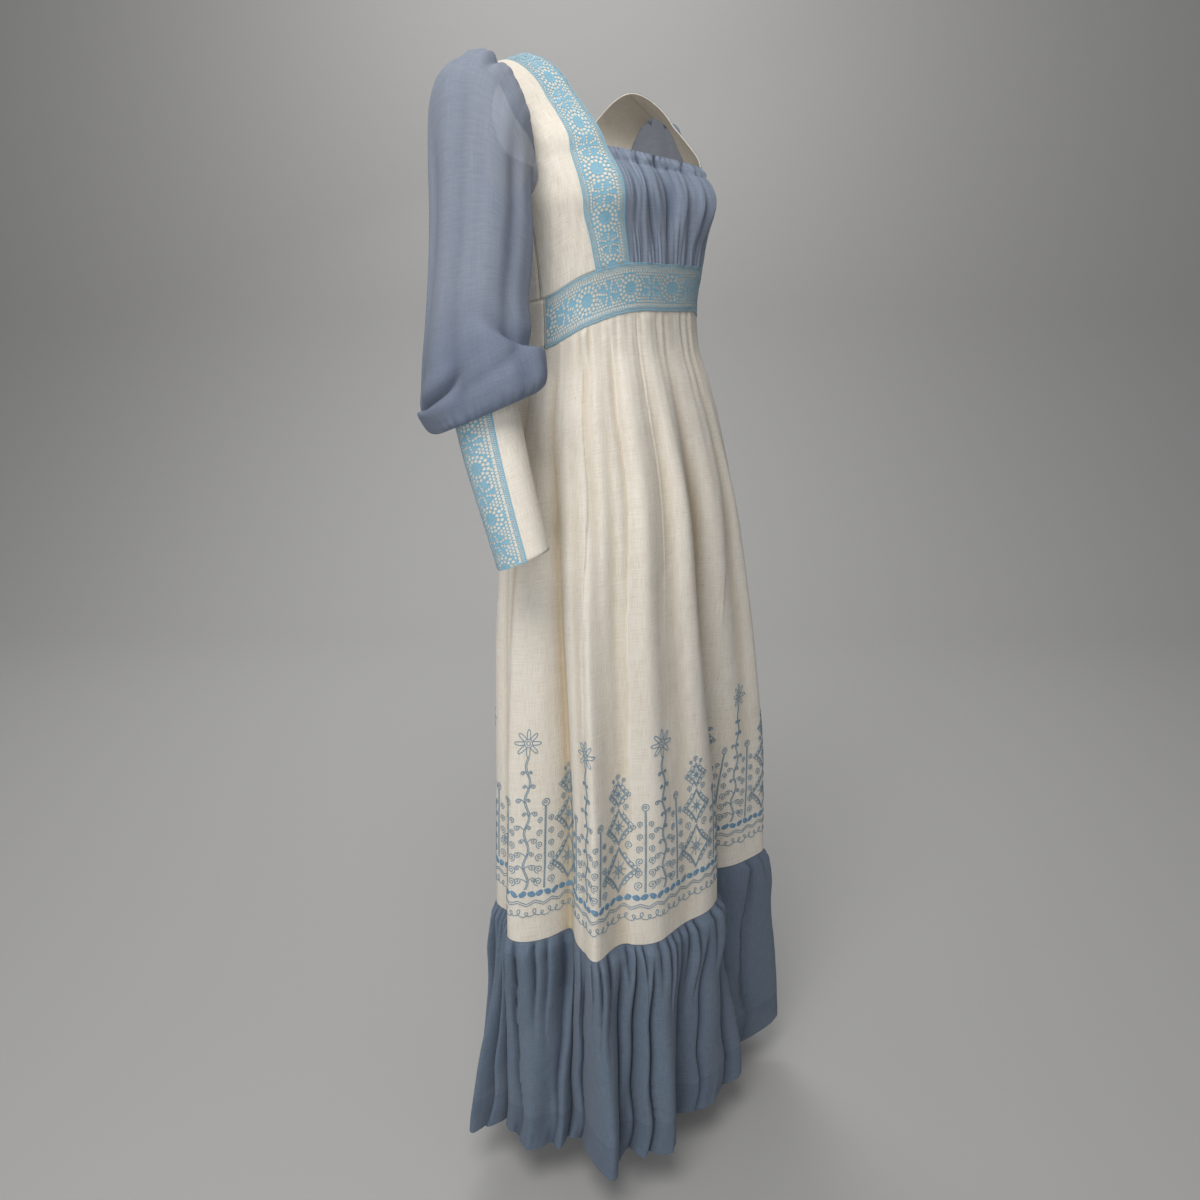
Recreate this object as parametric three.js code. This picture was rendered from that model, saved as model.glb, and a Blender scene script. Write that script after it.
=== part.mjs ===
// A maxi dress with a high waist, long puffed sleeves, lace trim and a gathered hem ruffle, in the hollow
// form it has when it is worn. Millimetres, +Z up. The wearer faces -Y and the wearer's left is +X. The origin is
// midway between the shoulders, at the height where the shoulder straps rest on the wearer.
import * as THREE from 'three';

// Thickness of each cloth, and the gaps between pieces.
const COTTON = 1.4;
const VOILE = 1.2;
const LACE = 1.2;
const SEAM_GAP = 0.5;
const LAY_GAP = 0.35;
const SLEEVE_GAP = 1.7; // between the middles of two cloths that meet at an angle
const PLACKET_LIFT = 0.5; // how much further out than a trim the placket lies

// Heights, measured down from the shoulder line.
const UNDERARM = 150;
const INSET_TOP = 101;
const SKIRT_END = 1040;
const HEM_END = 1364;
const PLACKET_TOP = 97;
const PLACKET_END = 315;
const PLACKET_HALF = 8;
const ABOVE_WAIST = -230; // a height near the waistband, at which its place is first looked up

// Horizontal sections of the worn dress: half width, the y of the section's middle, its depth in front of and
// behind that middle, and how square it is (2 is an ellipse).
const SECTIONS = [
  { z: 0, halfWidth: 178, middle: 0, front: 44, back: 44, square: 2.6 },
  { z: -40, halfWidth: 175, middle: -5, front: 66, back: 66, square: 2.6 },
  { z: -60, halfWidth: 171, middle: -12, front: 80, back: 78, square: 2.6 },
  { z: -85, halfWidth: 164, middle: -24, front: 92, back: 93, square: 2.6 },
  { z: -105, halfWidth: 158, middle: -32, front: 91, back: 102, square: 2.6 },
  { z: -130, halfWidth: 152, middle: -42, front: 94, back: 110, square: 2.6 },
  { z: -150, halfWidth: 149, middle: -47, front: 94, back: 112, square: 2.6 },
  { z: -170, halfWidth: 144, middle: -50, front: 92, back: 109, square: 2.5 },
  { z: -218, halfWidth: 134, middle: -50, front: 92, back: 98, square: 2.4 },
  { z: -262, halfWidth: 128, middle: -49, front: 91, back: 89, square: 2.3 },
  { z: -310, halfWidth: 130, middle: -50, front: 96, back: 90, square: 2.3 },
  { z: -350, halfWidth: 138, middle: -52, front: 108, back: 94, square: 2.3 },
  { z: -400, halfWidth: 148, middle: -54, front: 121, back: 98, square: 2.3 },
  { z: -500, halfWidth: 163, middle: -57, front: 141, back: 102, square: 2.3 },
  { z: -620, halfWidth: 177, middle: -58, front: 151, back: 104, square: 2.3 },
  { z: -760, halfWidth: 188, middle: -60, front: 160, back: 106, square: 2.3 },
  { z: -900, halfWidth: 197, middle: -62, front: 168, back: 107, square: 2.3 },
  { z: -1040, halfWidth: 205, middle: -62, front: 174, back: 107, square: 2.3 },
  { z: -1200, halfWidth: 216, middle: -64, front: 184, back: 112, square: 2.3 },
  { z: -1370, halfWidth: 230, middle: -66, front: 192, back: 126, square: 2.3 },
];
const SHOULDER_ROUND = 40; // height over which the top of the shoulder rounds off
const SHOULDER_SLOPE = Math.tan(THREE.MathUtils.degToRad(20));
const SLOPE_START = 95; // distance from the middle at which the shoulder starts to slope
const SLOPE_FADE = 200;
const BODY_MIDDLE = -50; // the y of a point inside every section
const SIDE_RADIUS = 80; // radius of the body at its side seams
const BUST = { turn: 30, width: 17, z: -138, height: 36, depth: 12 };

// Sideways places of the neck edge, the lace's outer edge and the armhole, down the front and the back.
const FRONT_EDGES = [
  { z: 0, neck: 98, lace: 136, armhole: 162 },
  { z: -30, neck: 99, lace: 134, armhole: 162 },
  { z: -60, neck: 98, lace: 132, armhole: 161 },
  { z: -82, neck: 97, lace: 131, armhole: 157 },
  { z: -103, neck: 95, lace: 131, armhole: 153 },
  { z: -130, neck: 95, lace: 130, armhole: 150 },
  { z: -150, neck: 93, lace: 128, armhole: 149 },
  { z: -170, neck: 88, lace: 124, armhole: 144 },
  { z: -196, neck: 79, lace: 116, armhole: 139 },
  { z: -230, neck: 71, lace: 107, armhole: 132 },
];
const BACK_EDGES = [
  { z: 0, neck: 98, lace: 130, armhole: 162 },
  { z: -30, neck: 94, lace: 128, armhole: 160 },
  { z: -55, neck: 84, lace: 122, armhole: 156 },
  { z: -73, neck: 70, lace: 112, armhole: 151 },
  { z: -84, neck: 54, lace: 102, armhole: 149 },
  { z: -91, neck: 32, lace: 92, armhole: 148 },
  { z: -94, neck: 0.4, lace: 80, armhole: 147 },
  { z: -130, neck: 0.4, lace: 76, armhole: 147 },
  { z: -150, neck: 0.4, lace: 75, armhole: 149 },
  { z: -310, neck: 0.4, lace: 66, armhole: 130 },
];

// The waistband's top and bottom edge round the body: it rises at the front. Turn 0 is the front and 180 is
// the back.
const BAND = [
  { turn: 0, top: -217, bottom: -267 },
  { turn: 30, top: -218, bottom: -268 },
  { turn: 60, top: -232, bottom: -284 },
  { turn: 90, top: -256, bottom: -309 },
  { turn: 130, top: -262, bottom: -315 },
  { turn: 180, top: -262, bottom: -315 },
];

// The waistband's front and back meet at the sides.
const BAND_FRONT_END = 88;
const BAND_BACK_START = 88.4;

const NECK_SHIFT = 10; // the neckline sits this far toward the wearer's left
const NECK_SHIFT_END = -100; // the height at which it ends, but for the left front edge

// Folds of the gathered bust panel: where each lies across the panel (-1 to 1), its half width, how far it
// stands in (-) or out (+), and how far down it reaches (1 is the waistband).
const INSET_FOLDS = [
  { across: -0.86, width: 0.05, depth: -2.5, reach: 0.8 },
  { across: -0.66, width: 0.06, depth: 3, reach: 0.9 },
  { across: -0.5, width: 0.05, depth: -5, reach: 1 },
  { across: -0.33, width: 0.06, depth: 3.5, reach: 0.8 },
  { across: -0.14, width: 0.05, depth: -6, reach: 0.9 },
  { across: 0.04, width: 0.06, depth: 4, reach: 0.9 },
  { across: 0.22, width: 0.05, depth: -6, reach: 1 },
  { across: 0.4, width: 0.06, depth: 4, reach: 0.9 },
  { across: 0.58, width: 0.05, depth: -4.5, reach: 0.9 },
  { across: 0.78, width: 0.06, depth: 2.5, reach: 0.8 },
];
const INSET_FRILL = { waves: 13, depth: 2.2, height: 0.14 };
const INSET_FADE = { edge: 0.12, top: 0.12, atTop: 0.3, reach: 0.35, share: 0.75 };

// Folds of the skirt: the turn where each starts at the waistband and where it ends at the skirt's lower
// edge, its half width in degrees there, how far it stands out (+) or in (-), and the height at which it is
// full.
const SKIRT_FOLDS = [
  { from: -14, to: -3, width: 6, depth: 3, full: -620 },
  { from: -6, to: 14, width: 8, depth: -62, full: -900 },
  { from: 20, to: 38, width: 7, depth: 31, full: -1010 },
  { from: 40, to: 56, width: 7, depth: -16, full: -700 },
  { from: 58, to: 74, width: 8, depth: 13, full: -760 },
  { from: 80, to: 92, width: 7, depth: -16, full: -700 },
  { from: 98, to: 106, width: 8, depth: 12, full: -800 },
  { from: 118, to: 122, width: 7, depth: -14, full: -640 },
  { from: 134, to: 137, width: 8, depth: 11, full: -760 },
  { from: 150, to: 151, width: 7, depth: -14, full: -700 },
  { from: 166, to: 167, width: 8, depth: 10, full: -800 },
  { from: -178, to: -177, width: 7, depth: -12, full: -560 },
  { from: -160, to: -161, width: 8, depth: 11, full: -820 },
  { from: -144, to: -146, width: 7, depth: -15, full: -700 },
  { from: -128, to: -126, width: 8, depth: 8, full: -740 },
  { from: -112, to: -108, width: 6, depth: -9, full: -620 },
  { from: -96, to: -90, width: 7, depth: 23, full: -900 },
  { from: -80, to: -73, width: 5.5, depth: -34, full: -860 },
  { from: -64, to: -57, width: 5, depth: 25, full: -900 },
  { from: -52, to: -46, width: 4.5, depth: -5, full: -560 },
  { from: -36, to: -30, width: 7, depth: 7, full: -640 },
  { from: -22, to: -15, width: 7, depth: -7, full: -520 },
];
const FOLD_START_WIDTH = 0.6; // share of its half width that a fold has at the waistband
const SKIRT_GATHER = { count: 31, depth: 3.2, start: 12, fade: 90 }; // small gathers under the waistband
const SKIRT_ROW_POWER = 1.25; // above 1, the rows lie closer together near the waistband
const BACK_ROW_POWER = 1.15; // the same for the bodice back, near the shoulder
const COLUMN_SHIFT = { reach: 20, turn: 130 }; // brings columns closer together where the folds are finest

// Folds of the hem ruffle: where each lies round the body, its half width and how far it stands out at the
// hem.
const RUFFLE_FOLDS = [
  { turn: 9, width: 5, depth: 4 }, { turn: 21, width: 6, depth: -24 }, { turn: 36, width: 6, depth: 46 },
  { turn: 50, width: 6, depth: -12 }, { turn: 65, width: 7, depth: 14 }, { turn: 79, width: 7, depth: -11 },
  { turn: 94, width: 8, depth: 14 }, { turn: 109, width: 7, depth: -12 }, { turn: 122, width: 7, depth: 12 },
  { turn: 137, width: 8, depth: -10 }, { turn: 152, width: 7, depth: 14 }, { turn: 166, width: 7, depth: -10 },
  { turn: 180, width: 7, depth: 13 }, { turn: -166, width: 7, depth: -11 }, { turn: -152, width: 7, depth: 13 },
  { turn: -138, width: 7, depth: -8 }, { turn: -125, width: 6, depth: 16 }, { turn: -113, width: 7, depth: 46 },
  { turn: -99, width: 4, depth: -4 }, { turn: -86, width: 5, depth: 14 }, { turn: -78, width: 4, depth: -12 },
  { turn: -66, width: 6, depth: -36 }, { turn: -53, width: 5, depth: 30 }, { turn: -44, width: 4, depth: -16 },
  { turn: -29, width: 5, depth: 16 }, { turn: -15, width: 6, depth: -30 }, { turn: -3, width: 5, depth: -4 },
];
const RUFFLE_GATHER = { count: 32, depth: 1.8, start: 12, fade: 70 };

// The sleeve from armhole to cuff: the outer and inner side of each section, its front and back, how much
// higher its front is than its middle, and how much further back the left one is. Outer and inner are
// distances from the middle of the body.
const SLEEVE = [
  { along: 0, outer: 160, outerZ: -24, inner: 150, innerZ: -150, front: -74, back: 26, rise: 0, swing: 0 },
  { along: 0.07, outer: 174, outerZ: -18, inner: 155, innerZ: -153, front: -76, back: 32, rise: 0, swing: 22 },
  { along: 0.15, outer: 198, outerZ: -24, inner: 160, innerZ: -160, front: -80, back: 34, rise: 0, swing: 44 },
  { along: 0.24, outer: 222, outerZ: -48, inner: 163, innerZ: -172, front: -85, back: 32, rise: 0, swing: 56 },
  { along: 0.33, outer: 236, outerZ: -92, inner: 164, innerZ: -190, front: -88, back: 28, rise: 2, swing: 62 },
  { along: 0.43, outer: 243, outerZ: -145, inner: 163, innerZ: -215, front: -90, back: 25, rise: 6, swing: 66 },
  { along: 0.53, outer: 250, outerZ: -205, inner: 163, innerZ: -245, front: -88, back: 25, rise: 10, swing: 70 },
  { along: 0.64, outer: 258, outerZ: -262, inner: 166, innerZ: -276, front: -87, back: 28, rise: 15, swing: 76 },
  { along: 0.75, outer: 266, outerZ: -314, inner: 170, innerZ: -312, front: -98, back: 34, rise: 21, swing: 84 },
  { along: 0.85, outer: 270, outerZ: -358, inner: 174, innerZ: -341, front: -117, back: 37, rise: 25, swing: 91 },
  { along: 0.92, outer: 266, outerZ: -380, inner: 178, innerZ: -358, front: -119, back: 28, rise: 24, swing: 95 },
  { along: 0.97, outer: 257, outerZ: -382, inner: 184, innerZ: -366, front: -103, back: 8, rise: 20, swing: 97 },
  { along: 1, outer: 250, outerZ: -372, inner: 190, innerZ: -360, front: -86, back: -6, rise: 16, swing: 98 },
];
const SLEEVE_FOLDS = [
  { turn: 10, width: 14, depth: -5, from: 0.1, to: 0.95 },
  { turn: 48, width: 12, depth: 4, from: 0.2, to: 0.95 },
  { turn: 80, width: 12, depth: -6, from: 0.15, to: 1 },
  { turn: 118, width: 14, depth: 4, from: 0.1, to: 0.9 },
  { turn: 158, width: 12, depth: -4, from: 0.1, to: 0.9 },
  { turn: 200, width: 14, depth: 4, from: 0.1, to: 0.9 },
  { turn: 240, width: 13, depth: -5, from: 0.2, to: 1 },
  { turn: 282, width: 13, depth: 4, from: 0.1, to: 0.9 },
  { turn: 322, width: 12, depth: -6, from: 0.2, to: 0.95 },
];
const SLEEVE_FOLD_FADE = { start: 0.2, end: 0.15 };
const SLEEVE_GATHER = { count: 9, depth: 1.6, start: 0.05, reach: 0.22 };
const SLEEVE_BLEND = 0.12; // share of the sleeve over which it turns from the armhole's shape into its own
const LEFT_RISE = -0.3; // share of the rise that the left arm's tables have
const CUFF = [
  { along: 0, outer: 248, outerZ: -372, inner: 192, innerZ: -360, front: -84, back: -8, rise: 15, swing: 98 },
  { along: 0.3, outer: 249, outerZ: -420, inner: 194, innerZ: -408, front: -96, back: -24, rise: 13, swing: 111 },
  { along: 0.65, outer: 250, outerZ: -476, inner: 198, innerZ: -464, front: -113, back: -48, rise: 12, swing: 128 },
  { along: 1, outer: 251, outerZ: -532, inner: 201, innerZ: -522, front: -132, back: -72, rise: 12, swing: 146 },
];
const CUFF_COLUMNS = 24;
const CUFF_LACE = { from: -4, to: 3, top: 0.12 }; // its first and last column, and its start along the cuff

const radians = THREE.MathUtils.degToRad;
const { clamp, lerp } = THREE.MathUtils;
const smooth = (t) => clamp(t, 0, 1) ** 2 * (3 - 2 * clamp(t, 0, 1));
const hump = (distance, width) => Math.exp(-((distance / width) ** 2));
const wrap = (turn) => ((turn + 540) % 360) - 180;

// Reads one column of a table at a place between its rows, on a smooth curve through them.
function read(table, key, column, at) {
  const rising = Math.sign(table[1][key] - table[0][key]);
  let i = 0;
  while (i < table.length - 2 && rising * (at - table[i + 1][key]) > 0) i += 1;
  const slope = (j) => {
    const [a, b] = [table[Math.max(j - 1, 0)], table[Math.min(j + 1, table.length - 1)]];
    return (b[column] - a[column]) / (b[key] - a[key]);
  };
  const [a, b] = [table[i], table[i + 1]];
  const span = b[key] - a[key];
  const t = clamp((at - a[key]) / span, 0, 1);
  return a[column] * (1 + 2 * t) * (1 - t) ** 2 + slope(i) * span * t * (1 - t) ** 2
    + b[column] * t * t * (3 - 2 * t) - slope(i + 1) * span * t * t * (1 - t);
}

// A wall of cloth between two distances from a surface, which is given over u and v from 0 to 1. It is closed
// along its edges, or in a ring when the surface comes back to its start.
function wall(surface, { columns, rows, inner, outer, ring = false }) {
  const inside = (t) => clamp(t, 0, 1);
  const step = 1e-3;
  const normal = (u, v) => {
    const [left, right] = ring ? [u - step, u + step] : [inside(u - step), inside(u + step)];
    const across = surface(right, v).sub(surface(left, v));
    return across.cross(surface(u, inside(v + step)).sub(surface(u, inside(v - step)))).normalize();
  };
  const middle = surface(0.5, 0.5);
  const core = ring ? surface(0, 0.5) : new THREE.Vector3(0, BODY_MIDDLE, middle.z);
  const facing = Math.sign(normal(0.5, 0.5).dot(middle.clone().sub(core)));
  const across = ring ? columns : columns + 1;
  const positions = [];
  for (const distance of [outer, inner])
    for (let j = 0; j <= rows; j += 1)
      for (let i = 0; i < across; i += 1) {
        const [u, v] = [i / columns, j / rows];
        positions.push(...surface(u, v).addScaledVector(normal(u, v), facing * distance));
      }
  const at = (side, i, j) => side * across * (rows + 1) + j * across + (i % across);
  const triangles = [];
  const quad = (a, b, c, d) => triangles.push(a, b, c, a, c, d);
  for (let j = 0; j < rows; j += 1)
    for (let i = 0; i < columns; i += 1) {
      quad(at(0, i, j), at(0, i + 1, j), at(0, i + 1, j + 1), at(0, i, j + 1));
      quad(at(1, i, j), at(1, i, j + 1), at(1, i + 1, j + 1), at(1, i + 1, j));
    }
  for (let i = 0; i < columns; i += 1) {
    quad(at(1, i, 0), at(1, i + 1, 0), at(0, i + 1, 0), at(0, i, 0));
    quad(at(0, i, rows), at(0, i + 1, rows), at(1, i + 1, rows), at(1, i, rows));
  }
  for (let j = 0; j < rows && !ring; j += 1) {
    quad(at(0, 0, j), at(0, 0, j + 1), at(1, 0, j + 1), at(1, 0, j));
    quad(at(1, columns, j), at(1, columns, j + 1), at(0, columns, j + 1), at(0, columns, j));
  }
  if (facing < 0)
    for (let k = 0; k < triangles.length; k += 3)
      [triangles[k], triangles[k + 1]] = [triangles[k + 1], triangles[k]];
  return new THREE.BufferGeometry()
    .setAttribute('position', new THREE.Float32BufferAttribute(positions, 3))
    .setIndex(triangles);
}

// A point of the body's outline at a turn in degrees and a nominal height, moved out by a distance.
function body(turn, z, out = 0) {
  const section = (column) => read(SECTIONS, 'z', column, z);
  const power = 2 / section('square');
  const [sine, cosine] = [Math.sin(radians(turn)), Math.cos(radians(turn))];
  const x = section('halfWidth') * Math.sign(sine) * Math.abs(sine) ** power;
  const round = Math.sqrt(1 - (1 - clamp(-z / SHOULDER_ROUND, 0, 1)) ** 2);
  const depth = (cosine > 0 ? section('front') : section('back')) * round;
  const bust = BUST.depth * hump(Math.abs(turn) - BUST.turn, BUST.width) * hump(z - BUST.z, BUST.height);
  const y = -depth * Math.sign(cosine) * Math.abs(cosine) ** power - bust;
  const slope = SHOULDER_SLOPE * (1 - smooth(-z / SLOPE_FADE));
  const scale = 1 + out / Math.hypot(x, y);
  const height = z - Math.max(0, Math.abs(x) - SLOPE_START) * slope;
  return new THREE.Vector3(x * scale, section('middle') + y * scale, height);
}

// The turn at which the body's outline is a given distance from the middle.
function turnAt(across, z, front) {
  const share = clamp(across / read(SECTIONS, 'z', 'halfWidth', z), 0, 1);
  const turn = THREE.MathUtils.radToDeg(Math.asin(share ** (read(SECTIONS, 'z', 'square', z) / 2)));
  const side = 90 - THREE.MathUtils.radToDeg(SEAM_GAP / 2 / SIDE_RADIUS);
  return front ? Math.min(turn, side) : 180 - Math.min(turn, side);
}

// How much further out a side's neck and lace edges are than the table says.
function neckShift(z, front, side) {
  const fade = front && side > 0 ? 0 : smooth(z / NECK_SHIFT_END);
  return side * NECK_SHIFT * (1 - fade);
}

function edgeTurn(column, z, front, side) {
  if (column === 'armhole' && z < -UNDERARM) return turnAt(Infinity, z, front);
  const shift = column === 'armhole' ? 0 : neckShift(z, front, side);
  return turnAt(read(front ? FRONT_EDGES : BACK_EDGES, 'z', column, z) + shift, z, front);
}

// The nominal height at a share of the way from the shoulder seam down to an end, evenly along the cloth.
function heightDown(share, end) {
  const roundLength = SHOULDER_ROUND * Math.PI / 2;
  const along = lerp(SEAM_GAP / 2, roundLength - SHOULDER_ROUND - end, share);
  return along < roundLength
    ? SHOULDER_ROUND * (Math.cos(along / SHOULDER_ROUND) - 1)
    : roundLength - SHOULDER_ROUND - along;
}

// Half of the bodice, front or back. u runs from the neck edge over the lace's outer edge to the armhole and
// side seam, v from the shoulder seam down to the waistband.
const waistAt = (turn) => read(BAND, 'turn', 'top', turn) + SEAM_GAP;
const LACE_COLUMNS = 3;
const BODICE_COLUMNS = 7;
function bodice(side, front) {
  const laceEdge = LACE_COLUMNS / BODICE_COLUMNS;
  const turn = (u, z) => (u < laceEdge
    ? lerp(edgeTurn('neck', z, front, side), edgeTurn('lace', z, front, side), u / laceEdge)
    : lerp(edgeTurn('lace', z, front, side), edgeTurn('armhole', z, front), (u - laceEdge) / (1 - laceEdge)));
  return (u, v) => {
    const waist = waistAt(turn(u, waistAt(turn(u, ABOVE_WAIST))));
    const z = heightDown(v, waist);
    return body(side * turn(u, z), z);
  };
}

// The gathered bust panel between the two lace straps, with a small frill along its top.
function inset(u, v) {
  const across = 2 * u - 1;
  const z = lerp(-INSET_TOP, waistAt(0), v);
  const neck = read(FRONT_EDGES, 'z', 'neck', z) - SEAM_GAP;
  const [right, left] = [-1, 1].map((side) => side * turnAt(neck + neckShift(z, true, side), z, true));
  const folds = INSET_FOLDS.reduce((sum, fold) => {
    const past = smooth((v - fold.reach + INSET_FADE.reach) / INSET_FADE.reach);
    return sum + fold.depth * hump(across - fold.across, fold.width) * (1 - INSET_FADE.share * past);
  }, 0);
  const frill = INSET_FRILL.depth * Math.sin(Math.PI * INSET_FRILL.waves * across)
    * (1 - smooth(v / INSET_FRILL.height));
  const fade = smooth((1 - Math.abs(across)) / INSET_FADE.edge);
  const out = folds * smooth(v / INSET_FADE.top + INSET_FADE.atTop) + frill;
  return body(lerp(right, left, u), z, fade * out);
}

// A band round the body between two turns, from the waistband's top edge to its bottom edge.
const band = (start, end) => (u, v) => {
  const turn = lerp(start, end, u);
  const [top, bottom] = ['top', 'bottom'].map((edge) => read(BAND, 'turn', edge, Math.abs(wrap(turn))));
  return body(turn, lerp(top, bottom, v));
};

// How far the skirt stands out of the body's outline at a turn and height.
function skirtFolds(turn, z) {
  const top = read(BAND, 'turn', 'bottom', Math.abs(turn));
  const down = (top - z) / (top + SKIRT_END);
  return SKIRT_FOLDS.reduce((sum, { from, to, width, depth, full }) => {
    const place = lerp(from, to, smooth(down));
    const spread = width * lerp(FOLD_START_WIDTH, 1, down);
    return sum + depth * smooth((top - z) / (top - full)) * hump(wrap(turn - place), spread);
  }, 0);
}

// The turn at a share of the way round, with the columns closer together where the folds are finest.
function around(u) {
  const turn = 360 * u;
  return wrap(turn + COLUMN_SHIFT.reach * Math.sin(radians(turn - COLUMN_SHIFT.turn)));
}

// How strong a piece's small gathers are at a distance down from its top.
const gathered = ({ start, fade }, down) => smooth(down / start) * (1 - smooth(down / fade));

function skirt(u, v) {
  const turn = around(u);
  const top = read(BAND, 'turn', 'bottom', Math.abs(turn)) - SEAM_GAP;
  const z = lerp(top, -SKIRT_END, v ** SKIRT_ROW_POWER);
  const wave = Math.sin(radians(SKIRT_GATHER.count * turn)) * gathered(SKIRT_GATHER, top - z);
  return body(turn, z, skirtFolds(turn, z) + SKIRT_GATHER.depth * wave);
}

function ruffle(u, v) {
  const turn = around(u);
  const z = lerp(-SKIRT_END - SEAM_GAP, -HEM_END, v);
  const folds = RUFFLE_FOLDS.reduce((sum, { turn: place, width, depth }) => sum
    + depth * hump(wrap(turn - place), width), 0);
  const wave = Math.sin(radians(RUFFLE_GATHER.count * turn)) * gathered(RUFFLE_GATHER, -SKIRT_END - z);
  return body(turn, z, lerp(skirtFolds(turn, -SKIRT_END), folds, smooth(v)) + RUFFLE_GATHER.depth * wave);
}

// A tube along a table of sections. u runs round it from its outer side over its front, v along it. The right
// arm hangs a little forward as the tables say, the left one is swung back.
const tube = (table, side) => (u, v) => {
  const at = (column) => read(table, 'along', column, v);
  const [cosine, sine] = [Math.cos(radians(360 * u)), Math.sin(radians(360 * u))];
  const between = (a, b, share) => (a + b) / 2 + ((a - b) / 2) * share;
  const [rise, swing] = side < 0 ? [1, 0] : [LEFT_RISE, 1];
  return new THREE.Vector3(
    side * between(at('outer'), at('inner'), cosine),
    between(at('front'), at('back'), sine) + swing * at('swing'),
    between(at('outerZ'), at('innerZ'), cosine) + rise * at('rise') * sine,
  );
};

function sleeve(side) {
  const plain = tube(SLEEVE, side);
  return (u, v) => {
    const turn = 360 * (u - Math.floor(u));
    const cosine = Math.cos(radians(turn));
    const z = -UNDERARM * clamp((1 - cosine) / 2, 1e-5, 1);
    const armhole = body(side * edgeTurn('armhole', z, turn < 180), z);
    armhole.x += side * SLEEVE_GAP;
    const point = armhole.lerp(plain(u, v), smooth(v / SLEEVE_BLEND));
    const axis = plain(0, v).add(plain(0.5, v)).multiplyScalar(0.5);
    const folds = SLEEVE_FOLDS.reduce((sum, fold) => {
      const started = smooth((v - fold.from) / SLEEVE_FOLD_FADE.start);
      const ended = smooth((v - fold.to) / SLEEVE_FOLD_FADE.end + 1);
      return sum + fold.depth * hump(wrap(turn - fold.turn), fold.width) * started * (1 - ended);
    }, 0);
    const along = smooth(v / SLEEVE_GATHER.start) * (1 - smooth(v / SLEEVE_GATHER.reach));
    const atTop = (1 + cosine) / 2;
    const gather = SLEEVE_GATHER.depth * along * atTop * Math.sin(radians(SLEEVE_GATHER.count * turn));
    return point.add(point.clone().sub(axis).normalize().multiplyScalar(folds + gather));
  };
}

// The strip that covers the closure down the middle of the back.
function placket(u, v) {
  const z = lerp(-PLACKET_TOP, -PLACKET_END, v);
  const turn = turnAt(PLACKET_HALF * Math.abs(2 * u - 1), z, false);
  return body(u < 0.5 ? turn : -turn, z);
}

function material(name, color) {
  return Object.assign(new THREE.MeshStandardMaterial({ color, roughness: 0.9 }), { name });
}
const cotton = material('cream_cotton', 0xe9e3d3);
const voile = material('blue_voile', 0x8e9db6);
const slate = material('slate_voile', 0x64748c);
const lace = material('blue_lace', 0x7fb2ca);

const dress = new THREE.Group();
dress.name = 'maxi_dress';
function add(name, geometry, cloth) {
  const mesh = new THREE.Mesh(geometry, cloth);
  mesh.name = name;
  dress.add(mesh);
}

const half = (thickness) => ({ inner: -thickness / 2, outer: thickness / 2 });
function onTop(under, thickness, lift = 0) {
  const inner = under / 2 + LAY_GAP + lift;
  return { inner, outer: inner + thickness };
}
const narrow = (surface, start, end) => (u, v) => surface(lerp(start, end, u), v);

for (const [name, side] of [['right', -1], ['left', 1]]) {
  const front = bodice(side, true);
  add(`bodice_front_${name}`, wall(front, { columns: BODICE_COLUMNS, rows: 14, ...half(COTTON) }), cotton);
  const back = bodice(side, false);
  const backRows = (u, v) => back(u, v ** BACK_ROW_POWER);
  add(`bodice_back_${name}`, wall(backRows, { columns: BODICE_COLUMNS, rows: 20, ...half(COTTON) }), cotton);
  const strap = narrow(front, 0, LACE_COLUMNS / BODICE_COLUMNS);
  add(`lace_strap_${name}`, wall(strap, { columns: LACE_COLUMNS, rows: 14, ...onTop(COTTON, LACE) }), lace);
  add(`sleeve_${name}`, wall(sleeve(side), { columns: 24, rows: 13, ring: true, ...half(VOILE) }), voile);
  const cuff = tube(CUFF, side);
  add(`cuff_${name}`, wall(cuff, { columns: CUFF_COLUMNS, rows: 4, ring: true, ...half(COTTON) }), cotton);
  const { from, to, top } = CUFF_LACE;
  const strip = (u, v) => cuff(lerp(from, to, u) / CUFF_COLUMNS, lerp(top, 1, v));
  add(`cuff_lace_${name}`, wall(strip, { columns: to - from, rows: 4, ...onTop(COTTON, LACE) }), lace);
}
const frontBand = band(-BAND_FRONT_END, BAND_FRONT_END);
const backBand = band(BAND_BACK_START, 360 - BAND_BACK_START);
add('bust_inset', wall(inset, { columns: 42, rows: 7, ...half(VOILE) }), voile);
add('waistband_front', wall(frontBand, { columns: 30, rows: 2, ...half(COTTON) }), cotton);
add('waistband_lace', wall(frontBand, { columns: 30, rows: 2, ...onTop(COTTON, LACE) }), lace);
add('waistband_back', wall(backBand, { columns: 32, rows: 2, ...half(COTTON) }), cotton);
add('skirt', wall(skirt, { columns: 96, rows: 12, ring: true, ...half(COTTON) }), cotton);
add('ruffle', wall(ruffle, { columns: 96, rows: 5, ring: true, ...half(VOILE) }), slate);
add('placket', wall(placket, { columns: 2, rows: 12, ...onTop(COTTON, COTTON, PLACKET_LIFT) }), cotton);

export default dress;
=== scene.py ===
"""A worn maxi dress: cream slub cotton and lace bodice, sheer blue sleeves, slate ruffle.

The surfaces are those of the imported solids, worked out again from the same named sizes on finer grids, with
the small gathers, lace and embroidery added. The dress is worked out in millimetres. The room, the lights and
the flat sizes of the sheets are in metres.
"""
import math
from collections import namedtuple

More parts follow.
